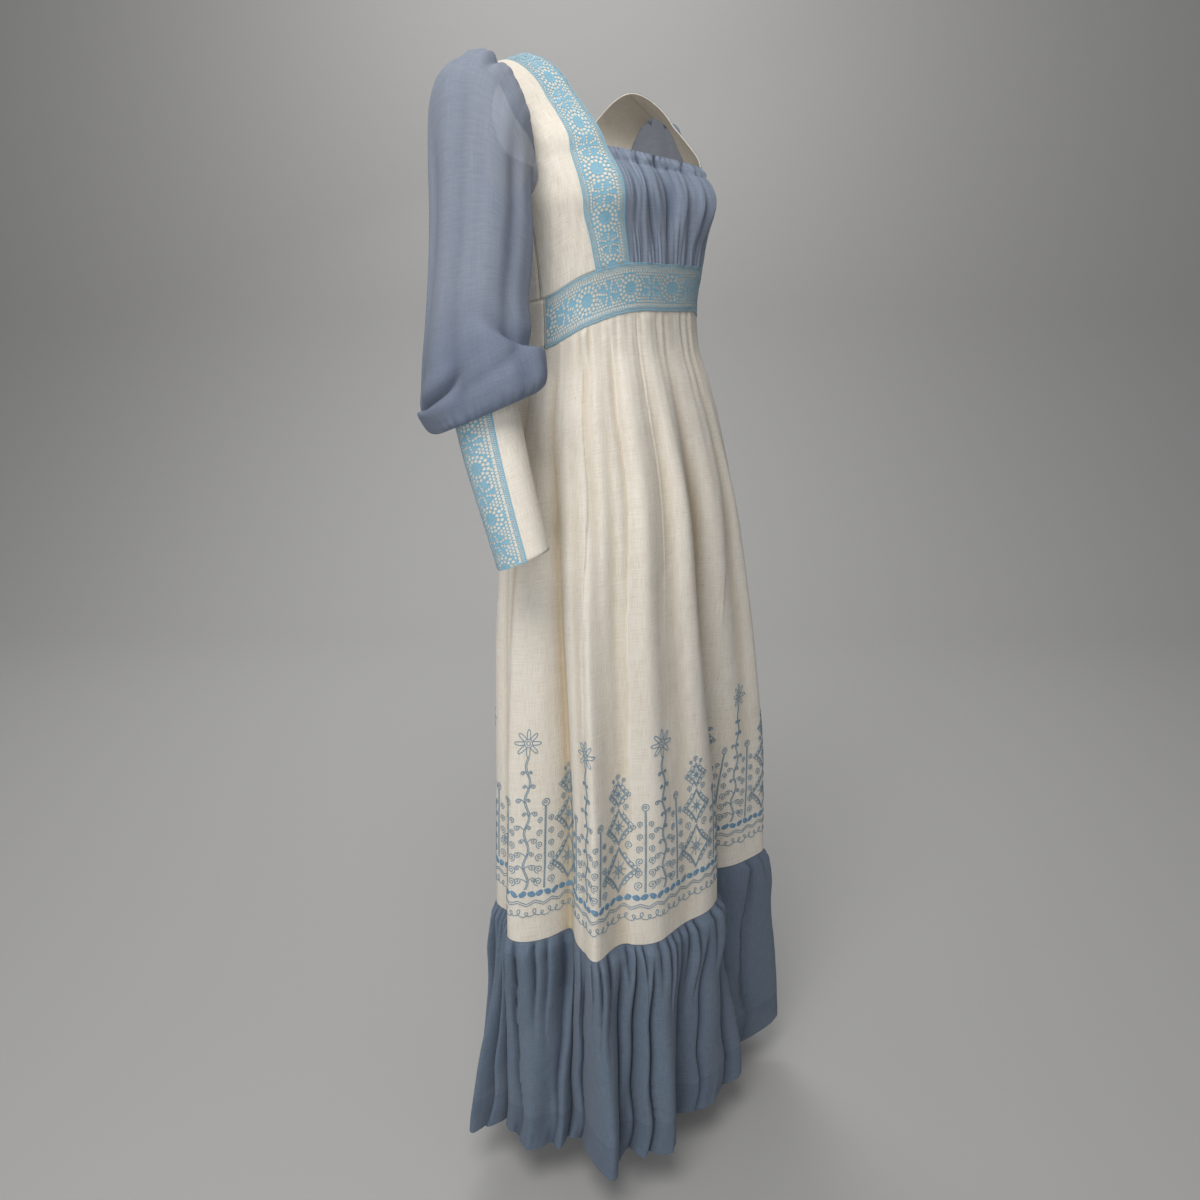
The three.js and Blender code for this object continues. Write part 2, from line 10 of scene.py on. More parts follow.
import bpy
import numpy as np
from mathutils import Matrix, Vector


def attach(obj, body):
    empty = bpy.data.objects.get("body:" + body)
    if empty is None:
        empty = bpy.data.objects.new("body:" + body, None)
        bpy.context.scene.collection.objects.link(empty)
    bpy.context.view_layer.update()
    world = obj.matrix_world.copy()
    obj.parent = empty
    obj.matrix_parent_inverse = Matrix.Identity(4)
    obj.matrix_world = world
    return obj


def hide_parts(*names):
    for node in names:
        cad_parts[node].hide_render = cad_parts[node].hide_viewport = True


MM = 0.001
SEED = 7
WHITE = (1, 1, 1)
WAVE_COUNT = 5
WAVE_PITCHES = (0.5, 2.2)

# ------------------------------------------------ sizes shared with the solids, in millimetres
UNDERARM = 150
BELOW_UNDERARM = 80
INSET_TOP = 101
SKIRT_END = 1040
HEM_END = 1364
SEAM_GAP = 0.5
SLEEVE_GAP = 1.0
LACE_LIFT = 0.85
SHOULDER_ROUND = 40
SHOULDER_SLOPE = math.tan(math.radians(20))
SLOPE_START = 95
SLOPE_FADE = 200
BUST = {"turn": 30, "width": 17, "z": -138, "height": 36, "depth": 12}
NECK_SHIFT = 10
NECK_SHIFT_END = -100


class Table:
    """Rows of named columns, read anywhere between its rows on a smooth curve through them."""

    def __init__(self, columns, rows):
        rows = np.array(rows, float)
        self.keys = rows[:, 0]
        self.sign = 1 if self.keys[1] > self.keys[0] else -1
        self.columns = {name: rows[:, k + 1] for k, name in enumerate(columns.split()[1:])}

    def __call__(self, column, at):
        keys, values = self.sign * self.keys, self.columns[column]
        at = np.clip(self.sign * np.asarray(at, float), keys[0], keys[-1])
        index, last = np.arange(len(keys)), len(keys) - 1
        low, high = np.maximum(index - 1, 0), np.minimum(index + 1, last)
        slopes = (values[high] - values[low]) / (keys[high] - keys[low])
        i = np.clip(np.searchsorted(keys, at, side="right") - 1, 0, len(keys) - 2)
        span = keys[i + 1] - keys[i]
        t = (at - keys[i]) / span
        return (
            values[i] * (1 + 2 * t) * (1 - t) ** 2
            + slopes[i] * span * t * (1 - t) ** 2
            + values[i + 1] * t * t * (3 - 2 * t)
            - slopes[i + 1] * span * t * t * (1 - t)
        )


# Horizontal sections of the worn dress.
SECTIONS = Table("z halfWidth middle front back square", [
    (0, 178, 0, 44, 44, 2.6),
    (-40, 175, -5, 66, 66, 2.6),
    (-60, 171, -12, 80, 78, 2.6),
    (-85, 164, -24, 92, 93, 2.6),
    (-105, 158, -32, 91, 102, 2.6),
    (-130, 152, -42, 94, 110, 2.6),
    (-150, 149, -47, 94, 112, 2.6),
    (-170, 144, -50, 92, 109, 2.5),
    (-218, 134, -50, 92, 98, 2.4),
    (-262, 128, -49, 91, 89, 2.3),
    (-310, 130, -50, 96, 90, 2.3),
    (-350, 138, -52, 108, 94, 2.3),
    (-400, 148, -54, 121, 98, 2.3),
    (-500, 163, -57, 141, 102, 2.3),
    (-620, 177, -58, 151, 104, 2.3),
    (-760, 188, -60, 160, 106, 2.3),
    (-900, 197, -62, 168, 107, 2.3),
    (-1040, 205, -62, 174, 107, 2.3),
    (-1200, 216, -64, 184, 112, 2.3),
    (-1370, 230, -66, 192, 126, 2.3),
])
FRONT_EDGES = Table("z neck lace armhole", [
    (0, 98, 136, 162),
    (-30, 99, 134, 162),
    (-60, 98, 132, 161),
    (-82, 97, 131, 157),
    (-103, 95, 131, 153),
    (-130, 95, 130, 150),
    (-150, 93, 128, 149),
    (-170, 88, 124, 144),
    (-196, 79, 116, 139),
    (-230, 71, 107, 132),
])
BACK_EDGES = Table("z neck lace armhole", [
    (0, 98, 130, 162),
    (-30, 94, 128, 160),
    (-55, 84, 122, 156),
    (-73, 70, 112, 151),
    (-84, 54, 102, 149),
    (-91, 32, 92, 148),
    (-94, 0.4, 80, 147),
    (-130, 0.4, 76, 147),
    (-150, 0.4, 75, 149),
    (-310, 0.4, 66, 130),
])
BAND = Table("turn top bottom", [
    (0, -217, -267),
    (30, -218, -268),
    (60, -232, -284),
    (90, -256, -309),
    (130, -262, -315),
    (180, -262, -315),
])
SKIRT_FOLDS = [  # turn at the waistband, turn at the lower edge, half width, depth, height where it is full
    (-14, -3, 6, 3, -620), (-6, 14, 8, -62, -900), (20, 38, 7, 31, -1010), (40, 56, 7, -16, -700),
    (58, 74, 8, 13, -760), (80, 92, 7, -16, -700), (98, 106, 8, 12, -800), (118, 122, 7, -14, -640),
    (134, 137, 8, 11, -760), (150, 151, 7, -14, -700), (166, 167, 8, 10, -800), (-178, -177, 7, -12, -560),
    (-160, -161, 8, 11, -820), (-144, -146, 7, -15, -700), (-128, -126, 8, 8, -740),
    (-112, -108, 6, -9, -620), (-96, -90, 7, 23, -900), (-80, -73, 5.5, -34, -860),
    (-64, -57, 5, 25, -900), (-52, -46, 4.5, -5, -560),
    (-36, -30, 7, 7, -640), (-22, -15, 7, -7, -520),
]
RUFFLE_FOLDS = [  # turn, half width, depth at the hem
    (9, 5, 4), (21, 6, -24), (36, 6, 46), (50, 6, -12), (65, 7, 14), (79, 7, -11), (94, 8, 14), (109, 7, -12),
    (122, 7, 12), (137, 8, -10), (152, 7, 14), (166, 7, -10), (180, 7, 13), (-166, 7, -11), (-152, 7, 13),
    (-138, 7, -8), (-125, 6, 16), (-113, 7, 46), (-99, 4, -4), (-86, 5, 14), (-78, 4, -12), (-66, 6, -36),
    (-53, 5, 30), (-44, 4, -16), (-29, 5, 16), (-15, 6, -30), (-3, 5, -4),
]
SLEEVE = Table("along outer outerZ inner innerZ front back rise swing", [
    (0, 160, -24, 150, -150, -74, 26, 0, 0),
    (0.07, 174, -18, 155, -153, -76, 32, 0, 22),
    (0.15, 198, -24, 160, -160, -80, 34, 0, 44),
    (0.24, 222, -48, 163, -172, -85, 32, 0, 56),
    (0.33, 236, -92, 164, -190, -88, 28, 2, 62),
    (0.43, 243, -145, 163, -215, -90, 25, 6, 66),
    (0.53, 250, -205, 163, -245, -88, 25, 10, 70),
    (0.64, 258, -262, 166, -276, -87, 28, 15, 76),
    (0.75, 266, -314, 170, -312, -98, 34, 21, 84),
    (0.85, 270, -358, 174, -341, -117, 37, 25, 91),
    (0.92, 266, -380, 178, -358, -119, 28, 24, 95),
    (0.97, 257, -382, 184, -366, -103, 8, 20, 97),
    (1, 250, -372, 190, -360, -86, -6, 16, 98),
])
SLEEVE_FOLDS = [  # turn round the sleeve, half width, depth, where along it starts and ends
    (10, 14, -5, 0.1, 0.95), (48, 12, 4, 0.2, 0.95), (80, 12, -6, 0.15, 1), (118, 14, 4, 0.1, 0.9),
    (158, 12, -4, 0.1, 0.9), (200, 14, 4, 0.1, 0.9), (240, 13, -5, 0.2, 1), (282, 13, 4, 0.1, 0.9),
    (322, 12, -6, 0.2, 0.95),
]
CUFF = Table("along outer outerZ inner innerZ front back rise swing", [
    (0, 248, -372, 192, -360, -84, -8, 15, 98),
    (0.3, 249, -420, 194, -408, -96, -24, 13, 111),
    (0.65, 250, -476, 198, -464, -113, -48, 12, 128),
    (1, 251, -532, 201, -522, -132, -72, 12, 146),
])


# ---------------------------------------------------------------- small helpers
def smooth(t):
    t = np.clip(t, 0, 1)
    return t * t * (3 - 2 * t)


def window(at, start, rise, end, fall):
    """1 from start to end, with a soft rise after the start and a soft fall past the end."""
    return smooth((at - start) / rise) * (1 - smooth((at - end) / fall))


def hump(distance, width):
    return np.exp(-((distance / width) ** 2))


def wrap(turn):
    return (np.asarray(turn) + 540) % 360 - 180


def lerp(a, b, t):
    return a + (b - a) * t


def unit(vectors):
    """The vectors at length 1."""
    return vectors / (np.linalg.norm(vectors, axis=-1, keepdims=True) + 1e-12)


def lengths(path):
    """The length along a path up to each of its points."""
    return np.concatenate([[0], np.cumsum(np.linalg.norm(np.diff(path, axis=0), axis=1))])


def waves(phase, seed):
    """A smooth uneven ripple between about -1 and 1 along a phase in turns, the same on every run."""
    rng = np.random.default_rng(SEED + seed)
    total = 0
    for _ in range(WAVE_COUNT):
        pitch, start = rng.uniform(*WAVE_PITCHES), rng.uniform(0, 2 * np.pi)
        total = total + np.sin(2 * np.pi * phase * pitch + start)
    return total / np.sqrt(WAVE_COUNT) / 1.4


def waves_ring(ring, count, seed):
    """An uneven ripple that closes round a ring, of about this many waves."""
    rng = np.random.default_rng(SEED + seed)
    total = 0
    for waves_round in (int(count * 0.62), count, int(count * 1.37), max(2, int(count * 0.3))):
        total = total + rng.uniform(0.5, 1) * np.sin(waves_round * ring + rng.uniform(0, 2 * np.pi))
    return total / 2


def crests(ring, count, seed):
    """Rounded ridges with narrow valleys round the body: height, strength and reach, each from 0 to 1."""
    phase = ring / (2 * np.pi) * count + 0.45 * waves_ring(ring, max(3, count // 4), seed)
    cell = np.floor(phase).astype(int) % count
    rng = np.random.default_rng(SEED + seed)
    strength, reach = rng.uniform(0, 1, count), rng.uniform(0, 1, count)
    return np.abs(np.sin(np.pi * phase)) ** 0.8, strength[cell], reach[cell]


# A ring of gathers: how many, the least height in millimetres and how much more the strongest has, the power
# that makes strong ones rarer, the power that makes ridges sharper, and how much of a ridge lies inwards.
# A ripple: its height in millimetres and its number of waves.
Gathers = namedtuple("Gathers", "count seed least more rarer sharper inwards")
Ripple = namedtuple("Ripple", "height count seed")


def gathers(ring, kind):
    """How far gathers stand out in millimetres, and each one's reach from 0 to 1."""
    ridge, strength, reach = crests(ring, kind.count, kind.seed)
    height = kind.least + kind.more * strength ** kind.rarer
    return height * (ridge ** kind.sharper - kind.inwards), reach


def ripple(ring, kind):
    return kind.height * waves_ring(ring, kind.count, kind.seed)


# ---------------------------------------------------------------- surfaces, as in the solids
def body(turn, z, out=0):
    """Points of the body's outline at a turn in degrees and a nominal height, moved out by a distance."""
    turn, z, out = np.broadcast_arrays(np.asarray(turn, float), np.asarray(z, float), np.asarray(out, float))
    power = 2 / SECTIONS("square", z)
    sine, cosine = np.sin(np.radians(turn)), np.cos(np.radians(turn))
    x = SECTIONS("halfWidth", z) * np.sign(sine) * np.abs(sine) ** power
    rounded = np.sqrt(np.clip(1 - (1 - np.clip(-z / SHOULDER_ROUND, 0, 1)) ** 2, 0, 1))
    depth = np.where(cosine > 0, SECTIONS("front", z), SECTIONS("back", z)) * rounded
    bust = BUST["depth"] * hump(np.abs(turn) - BUST["turn"], BUST["width"])
    bust = bust * hump(z - BUST["z"], BUST["height"])
    y = -depth * np.sign(cosine) * np.abs(cosine) ** power - bust
    slope = SHOULDER_SLOPE * (1 - smooth(-z / SLOPE_FADE))
    scale = 1 + out / np.maximum(np.hypot(x, y), 1e-6)
    height = z - np.maximum(0, np.abs(x) - SLOPE_START) * slope
    return np.stack([x * scale, SECTIONS("middle", z) + y * scale, height], -1)


def turn_at(across, z, front):
    share = np.clip(across / SECTIONS("halfWidth", z), 0, 1)
    turn = np.degrees(np.arcsin(share ** (SECTIONS("square", z) / 2)))
    turn = np.minimum(turn, 90 - math.degrees(SEAM_GAP / 2 / 80))
    return turn if front else 180 - turn


def neck_shift(z, front, side):
    """How much further out a side's neck and lace edges are than the table says."""
    fade = 0 if front and side > 0 else smooth(z / NECK_SHIFT_END)
    return side * NECK_SHIFT * (1 - fade)


def edge_turn(column, z, front, side):
    edges = FRONT_EDGES if front else BACK_EDGES
    across = edges(column, z)
    if column == "armhole":
        across = np.where(z < -UNDERARM, 1e6, across)
    else:
        across = across + neck_shift(z, front, side)
    return turn_at(across, z, front)


def height_down(share, end):
    """The nominal height at a share of the way down from the shoulder seam, evenly along the cloth."""
    round_length = SHOULDER_ROUND * math.pi / 2
    along = lerp(SEAM_GAP / 2, round_length - SHOULDER_ROUND - end, share)
    over = SHOULDER_ROUND * (np.cos(np.minimum(along, round_length) / SHOULDER_ROUND) - 1)
    return np.where(along < round_length, over, round_length - SHOULDER_ROUND - along)


def waist_at(turn):
    return BAND("top", turn) + SEAM_GAP


LACE_EDGE = 3 / 7


def bodice(side, front):
    """A side of the bodice: u runs from the neck to the armhole, with the lace's edge on the way."""
    def turn(u, z):
        neck, lace, armhole = (edge_turn(name, z, front, side) for name in ("neck", "lace", "armhole"))
        inner = lerp(neck, lace, u / LACE_EDGE)
        return np.where(u < LACE_EDGE, inner, lerp(lace, armhole, (u - LACE_EDGE) / (1 - LACE_EDGE)))

    def surface(u, v):
        waist = waist_at(turn(u, -UNDERARM - BELOW_UNDERARM + 0 * u))
        waist = waist_at(turn(u, waist))
        z = height_down(v, waist)
        place = turn(u, z)
        wrinkles = bodice_wrinkles(place, z, front) * smooth((1 - v) / 0.06) * smooth(v / 0.1)
        return body(side * place, z, wrinkles)

    return surface


def bodice_wrinkles(turn, z, front):
    """Soft pulls of the cloth from the bust and armhole, under 1 mm high."""
    pull = waves(turn / 14 + z / 150, 3) * hump(turn - 70, 26) * hump(z + 185, 60)
    return (0.9 if front else 0.7) * pull + 0.25 * waves(turn / 20 - z / 60, 4)


def fold_sum(turn, z, top):
    """How far the large folds move the skirt out."""
    down = (top - z) / (top + SKIRT_END)
    total = 0
    for start, end, width, depth, full in SKIRT_FOLDS:
        ridge = hump(wrap(turn - lerp(start, end, smooth(down))), width * (0.6 + 0.4 * down))
        total = total + depth * smooth((top - z) / (top - full)) * ridge
    return total


def around(u):
    """The turn in degrees at a share of the way round, with more columns on the side that shows."""
    return wrap(360 * u + 20 * np.sin(np.radians(360 * u - 130)))


SKIRT_FINE = Gathers(44, 21, 0.5, 5.5, 2, 1, 0.5)
SKIRT_WIDE = Gathers(19, 22, 1.0, 9.0, 1.5, 2, 0.5)
SKIRT_BUNCHES = Ripple(1, 7, 27)
SKIRT_BROAD = Ripple(2.6, 11, 23)
SKIRT_CREASES = Ripple(0.35, 61, 24)
SKIRT_CRUMPLE = Ripple(0.35, 37, 25)
GATHERED = 8  # how far under the waistband the gathers are full, in millimetres


def skirt_gathers(turn, z, top):
    """Gathers from the waistband down, which join into wider folds and then fade."""
    down = top - z
    ring = np.radians(turn + 1.3 * waves(down / 300, 11))
    fine, reach = gathers(ring, SKIRT_FINE)
    fine = fine * window(down, 0, GATHERED, GATHERED, 30 + 130 * reach)
    fine = fine * (0.25 + 0.75 * smooth(0.5 + ripple(ring, SKIRT_BUNCHES)))
    wide, reach = gathers(ring + 0.05, SKIRT_WIDE)
    wide = wide * smooth((down - GATHERED) / 70) * (1 - 0.7 * smooth((down - 140) / (160 + 520 * reach)))
    broad = ripple(ring, SKIRT_BROAD) * smooth(down / 250)
    creases = ripple(ring, SKIRT_CREASES) * (0.4 + 0.6 * hump(down - 40, 90))
    crumple = ripple(ring + 0.08 * np.sin(down / 37), SKIRT_CRUMPLE) * waves(down / 70, 26)
    return fine + wide + broad + creases + crumple * smooth(down / 60)


def skirt_out(turn, z):
    """How far the skirt stands out of the body's outline."""
    top = BAND("bottom", np.abs(turn))
    return fold_sum(turn, z, top) + skirt_gathers(turn, z, top - SEAM_GAP)


def skirt_point(turn, z):
    return body(turn, z, skirt_out(turn, z))


def skirt(u, v):
    turn = around(u)
    top = BAND("bottom", np.abs(turn)) - SEAM_GAP
    return skirt_point(turn, lerp(top, -SKIRT_END, v ** 1.25))


def seam_out(turn):
    """How far the skirt stands out at its lower edge, where the ruffle is sewn on."""
    return skirt_out(turn, np.full_like(turn, -SKIRT_END))


RUFFLE_FINE = Gathers(78, 33, 4.0, 7.0, 1, 1, 0.5)
RUFFLE_WIDE = Gathers(37, 34, 6.0, 14.0, 1, 1, 0.55)
RUFFLE_EDGE = Ripple(1.1, 83, 35)
RUFFLE_CRUMPLE = Ripple(0.5, 47, 37)
HEM_LIFT = Ripple(3, 19, 36)


def ruffle_out(turn, v):
    """How far the ruffle stands out of the body's outline: small gathers that join into its hem's folds."""
    folds = sum(depth * hump(wrap(turn - place), width) for place, width, depth in RUFFLE_FOLDS)
    ring = np.radians(turn + 0.9 * waves(v * 1.4, 31))
    fine, reach = gathers(ring, RUFFLE_FINE)
    fine = fine * window(v, 0, 0.025, 0.06, 0.15 + 0.4 * reach)
    wide, _ = gathers(ring, RUFFLE_WIDE)
    wide = wide * smooth((v - 0.01) / 0.2) * (1 - 0.3 * smooth((v - 0.55) / 0.45))
    edge = ripple(ring, RUFFLE_EDGE) * smooth((v - 0.75) / 0.25)
    puff = 6 * window(v, 0, 0.05, 0.05, 0.35)
    crumple = ripple(ring + 0.05 * np.sin(v * 9), RUFFLE_CRUMPLE) * waves(v * 4.5, 38) * smooth(v / 0.1)
    return lerp(seam_out(turn), folds, smooth(v)) + fine + wide + edge + puff + crumple


RUFFLE_LEAN = 0.1  # degrees that a gather leans for each millimetre that it stands out


def ruffle(u, v):
    turn = around(u)
    z = lerp(-SKIRT_END - SEAM_GAP, -HEM_END, v)
    out = ruffle_out(turn, v)
    lean = RUFFLE_LEAN * (out - lerp(seam_out(turn), 0, smooth(v)))
    point = body(turn + lean, z, out)
    point[..., 2] += np.maximum(ripple(np.radians(turn), HEM_LIFT), 0) * smooth((v - 0.6) / 0.4)
    return point


def tube(table, side):
    def surface(u, v):
        cosine, sine = np.cos(2 * np.pi * u), np.sin(2 * np.pi * u)

        def between(a, b, share):
            first, second = table(a, v), table(b, v)
            return (first + second) / 2 + (first - second) / 2 * share

        forward = side < 0
        rise = table("rise", v) * (1 if forward else -0.3)
        swing = 0 if forward else table("swing", v)
        return np.stack([
            side * between("outer", "inner", cosine),
            between("front", "back", sine) + swing,
            between("outerZ", "innerZ", cosine) + rise * sine,
        ], -1)

    return surface


def sleeve(side):
    """A sleeve: u runs round it from its outer side over the front, v from the armhole to the cuff."""
    plain = tube(SLEEVE, side)

    def surface(u, v):
        turn = 360 * (u - np.floor(u))
        cosine = np.cos(np.radians(turn))
        z = -UNDERARM * np.clip((1 - cosine) / 2, 1e-5, 1)
        front, back = (edge_turn("armhole", z, is_front, side) for is_front in (True, False))
        armhole = body(side * np.where(turn < 180, front, back), z)
        armhole[..., 0] += side * SLEEVE_GAP
        blend = smooth(v / 0.12)[..., None]
        point = armhole * (1 - blend) + plain(u, v) * blend
        axis = (plain(0 * u, v) + plain(0 * u + 0.5, v)) / 2
        folds = 0
        for fold_turn, width, depth, start, end in SLEEVE_FOLDS:
            reach = window(v, start, 0.2, end - 0.15, 0.15)
            folds = folds + depth * hump(wrap(turn - fold_turn), width) * reach
        out = unit(point - axis)
        drape, rise = sleeve_drape(wrap(turn), v)
        point = point + out * (folds + drape + sleeve_gathers(turn, v, cosine, side))[..., None]
        point[..., 2] += rise
        return point

    return surface


SLEEVE_DRAPE = [  # turn, half width, place along, half length, shift of that for each degree, out, rise
    (-20, 55, 0.19, 0.09, 0, 8, 0),
    (-20, 25, 0.798, 0.022, -0.0009, 7, 0),
    (-20, 25, 0.81, 0.018, -0.0009, 0, -7),
    (-20, 25, 0.832, 0.018, -0.0009, -17, 0),
    (-20, 25, 0.872, 0.025, -0.0009, 0, 5),
    (-20, 25, 0.874, 0.024, -0.0009, 8, 0),
    (-38, 14, 0.885, 0.024, 0, 7, 11),
]
LOBE_DRAPE = [  # place along from the lobe's upper edge, half length, out, rise
    (-0.028, 0.028, -8, 0),
    (-0.028, 0.026, 0, -6),
    (0.03, 0.036, 0, 8),
]
LOBE = {"turn": 100, "width": 48, "start": 0.71, "drop": 0.085, "out": 7}


def sleeve_drape(turn, v):
    """The blouse of the lower sleeve, which doubles over itself: how far it stands out and is lifted."""
    out, rise = 0, 0
    for middle, width, along, length, shift, by_out, by_rise in SLEEVE_DRAPE:
        share = hump(turn - middle, width) * hump(v - along - shift * (turn - middle), length)
        out, rise = out + by_out * share, rise + by_rise * share
    lobe = hump(turn - LOBE["turn"], LOBE["width"])
    past = v - LOBE["start"] - LOBE["drop"] * smooth((turn - 35) / 75)
    for along, length, by_out, by_rise in LOBE_DRAPE:
        share = lobe * hump(past - along, length)
        out, rise = out + by_out * share, rise + by_rise * share
    out = out + lobe * LOBE["out"] * smooth((past + 0.012) / 0.04) * (1 - smooth((v - 0.87) / 0.12))
    crease = hump(v - 0.85 + 0.0006 * turn, 0.018) * window(turn, -5, 25, 80, 40)
    return out - 3.4 * crease, rise


SLEEVE_SEEDS = {-1: 40, 1: 50}
CAP_TUCKS = [(-12, 9), (28, 7.2)]  # turn, depth
TUCK_WIDTH = 5


def sleeve_gathers(turn, v, cosine, side):
    """Fine gathers and two tucks at the cap, gathers at the cuff, and soft long creases between them."""
    ring = np.radians(turn)
    seed = SLEEVE_SEEDS[side]
    cap, reach = gathers(ring, Gathers(34, seed, 0.8, 5.5, 2, 1, 0.4))
    cap = cap * window(v, 0, 0.015, 0.02, 0.05 + 0.16 * reach)
    cuff, _ = gathers(ring, Gathers(34, seed, 0.8, 2.6, 1, 1, 0.5))
    cuff = cuff * smooth((v - 0.86) / 0.09)
    long = ripple(ring + 0.3 * np.sin(4 * v), Ripple(2.4, 5, seed + 1))
    long = long + ripple(ring, Ripple(0.35, 14, seed + 2))
    tucks = sum(depth * hump(wrap(turn - place), TUCK_WIDTH) for place, depth in CAP_TUCKS)
    tucks = tucks * window(v, 0, 0.02, 0.1, 0.14)
    return cap * (0.5 + 0.5 * cosine) + cuff + long * window(v, 0.05, 0.15, 0.8, 0.2) - tucks


INSET_FOLDS = [  # place across (-1 to 1), half width, depth, how far down it reaches
    (-0.86, 0.05, -2.5, 0.8), (-0.66, 0.06, 3, 0.9), (-0.5, 0.045, -5, 1), (-0.33, 0.06, 3.5, 0.8),
    (-0.14, 0.045, -6.5, 0.9), (0.04, 0.06, 4, 0.9), (0.22, 0.045, -6.5, 1), (0.4, 0.06, 4, 0.9),
    (0.58, 0.05, -4.5, 0.9), (0.78, 0.06, 2.5, 0.8),
]
INSET_UPPER = Gathers(62, 61, 0.6, 2.6, 1, 1, 0.5)
INSET_LOWER = Gathers(70, 62, 0.6, 2.8, 1, 1, 0.5)
INSET_FRILL = Ripple(1.7, 120, 63)
INSET_SOFT = Ripple(0.8, 33, 64)


def inset(u, v):
    """The bust panel between the two lace edges, from its casing down to the waistband."""
    across = 2 * u - 1
    z = lerp(-INSET_TOP, float(waist_at(0)), v)
    neck = FRONT_EDGES("neck", z) - 0.5 * SEAM_GAP
    right, left = (side * turn_at(neck + neck_shift(z, True, side), z, True) for side in (-1, 1))
    folds = 0
    for place, width, depth, down in INSET_FOLDS:
        lean = place * (1 - 0.12 * v) + 0.02 * np.sin(7 * v + 9 * place)
        folds = folds + depth * hump(across - lean, width) * (1 - 0.75 * smooth((v - down + 0.35) / 0.35))
    ring = across * np.pi / 3 + 2
    upper, reach = gathers(ring, INSET_UPPER)
    upper = upper * window(v, 0.08, 0.05, 0.15, 0.1 + 0.4 * reach)
    lower, reach = gathers(ring, INSET_LOWER)
    lower = lower * smooth((v - 0.88 + 0.45 * reach) / 0.25)
    casing = 1.8 * hump(v - 0.055, 0.035) - 1.8 * hump(v - 0.118, 0.014)
    frill = ripple(ring + 0.02 * np.sin(40 * v), INSET_FRILL) * (1 - smooth(v / 0.15))
    soft = ripple(ring + 0.1 * v, INSET_SOFT) * smooth(v / 0.2)
    relief = folds * smooth(v / 0.1 + 0.15) + upper + lower + frill + soft
    return body(lerp(right, left, u), z, smooth((1 - np.abs(across)) / 0.08) * relief + casing)


def band(start, end):
    def surface(u, v):
        turn = lerp(start, end, u)
        return body(turn, lerp(BAND("top", np.abs(wrap(turn))), BAND("bottom", np.abs(wrap(turn))), v))

    return surface


PLACKET = {"top": -97, "end": -315, "half": 8}


def placket(u, v):
    z = lerp(PLACKET["top"], PLACKET["end"], v)
    turn = turn_at(PLACKET["half"] * np.abs(2 * u - 1), z, False)
    return body(np.where(u < 0.5, turn, -turn), z)


# ---------------------------------------------------------------- meshes
FOLD_HEIGHT = 5.0  # how far a fold stands out where the painted shade in its folds is at its lightest, in millimetres


def sample(surface, columns, rows, ring):
    """The surface's points on a grid, in metres, with the grid's own normals pointing out."""
    across = columns if ring else columns + 1
    u, v = np.meshgrid(np.arange(across) / columns, np.arange(rows + 1) / rows)
    points = surface(u, v) * MM
    return points, grid_normals(points, ring)


def grid_normals(points, ring):
    if ring:
        along_u = np.roll(points, -1, 1) - np.roll(points, 1, 1)
        core = points.mean(1, keepdims=True)
    else:
        along_u = np.gradient(points, axis=1)
        core = np.array([0, -0.05, 0]) + points * [0, 0, 1]
    normals = unit(np.cross(along_u, np.gradient(points, axis=0)))
    return -normals if (normals * (points - core)).sum() < 0 else normals


def mesh_object(name, points, faces, uv=None):
    mesh = bpy.data.meshes.new(name)
    mesh.from_pydata(points.reshape(-1, 3).tolist(), [], faces.tolist())
    if uv is not None:
        layer = mesh.uv_layers.new(name="cloth")
        loops = np.empty(len(mesh.loops), int)
        mesh.loops.foreach_get("vertex_index", loops)
        layer.data.foreach_set("uv", uv.reshape(-1, 2)[loops].astype(np.float32).ravel())
    mesh.polygons.foreach_set("use_smooth", np.ones(len(mesh.polygons), bool))
    obj = bpy.data.objects.new(name, mesh)
    bpy.context.scene.collection.objects.link(obj)
    return obj


def grid_faces(points, normals=None, ring=False):
    """Quads of a grid of points, wound so that they face the way of its normals if it has them."""
    index = np.arange(points[..., 0].size).reshape(points.shape[:2])
    flip = normals is not None and facing(points, normals)
    if ring:
        index = np.concatenate([index, index[:, :1]], 1)
    a, b, c, d = index[:-1, :-1], index[:-1, 1:], index[1:, 1:], index[1:, :-1]
    quads = np.stack([a, b, c, d] if not flip else [d, c, b, a], -1)
    return quads.reshape(-1, 4)


def facing(points, normals):
    """True where the grid's quads have to be turned round to face along the normals."""
    j, i = points.shape[0] // 2, points.shape[1] // 2
    quad = np.cross(points[j, i + 1] - points[j, i], points[j + 1, i] - points[j, i])
    return float(quad @ normals[j, i]) < 0


def cloth_uv(points):
    """Cloth coordinates in metres: the length of the cloth along its middle row and its middle column."""
    middle_row, middle_column = points[points.shape[0] // 2], points[:, points.shape[1] // 2]
    return np.stack(np.meshgrid(lengths(middle_row), -lengths(middle_column)), -1)


def fold_height(points, normals, ring, span):
    """How far each point stands out of the cloth within half a span on both sides: 0.5 is level with it."""
    column_width = np.linalg.norm(np.diff(points, axis=1), axis=-1).mean()
    reach = max(2, int(span * MM / column_width / 2))
    padded = np.pad(points, ((0, 0), (reach + 1, reach), (0, 0)), mode="wrap" if ring else "edge")
    total = np.cumsum(padded, axis=1)
    level = (total[:, 2 * reach + 1:] - total[:, :-2 * reach - 1]) / (2 * reach + 1)
    out = ((points - level) * normals).sum(-1) / MM
    return np.clip(0.5 + 0.5 * out / FOLD_HEIGHT, 0, 1)


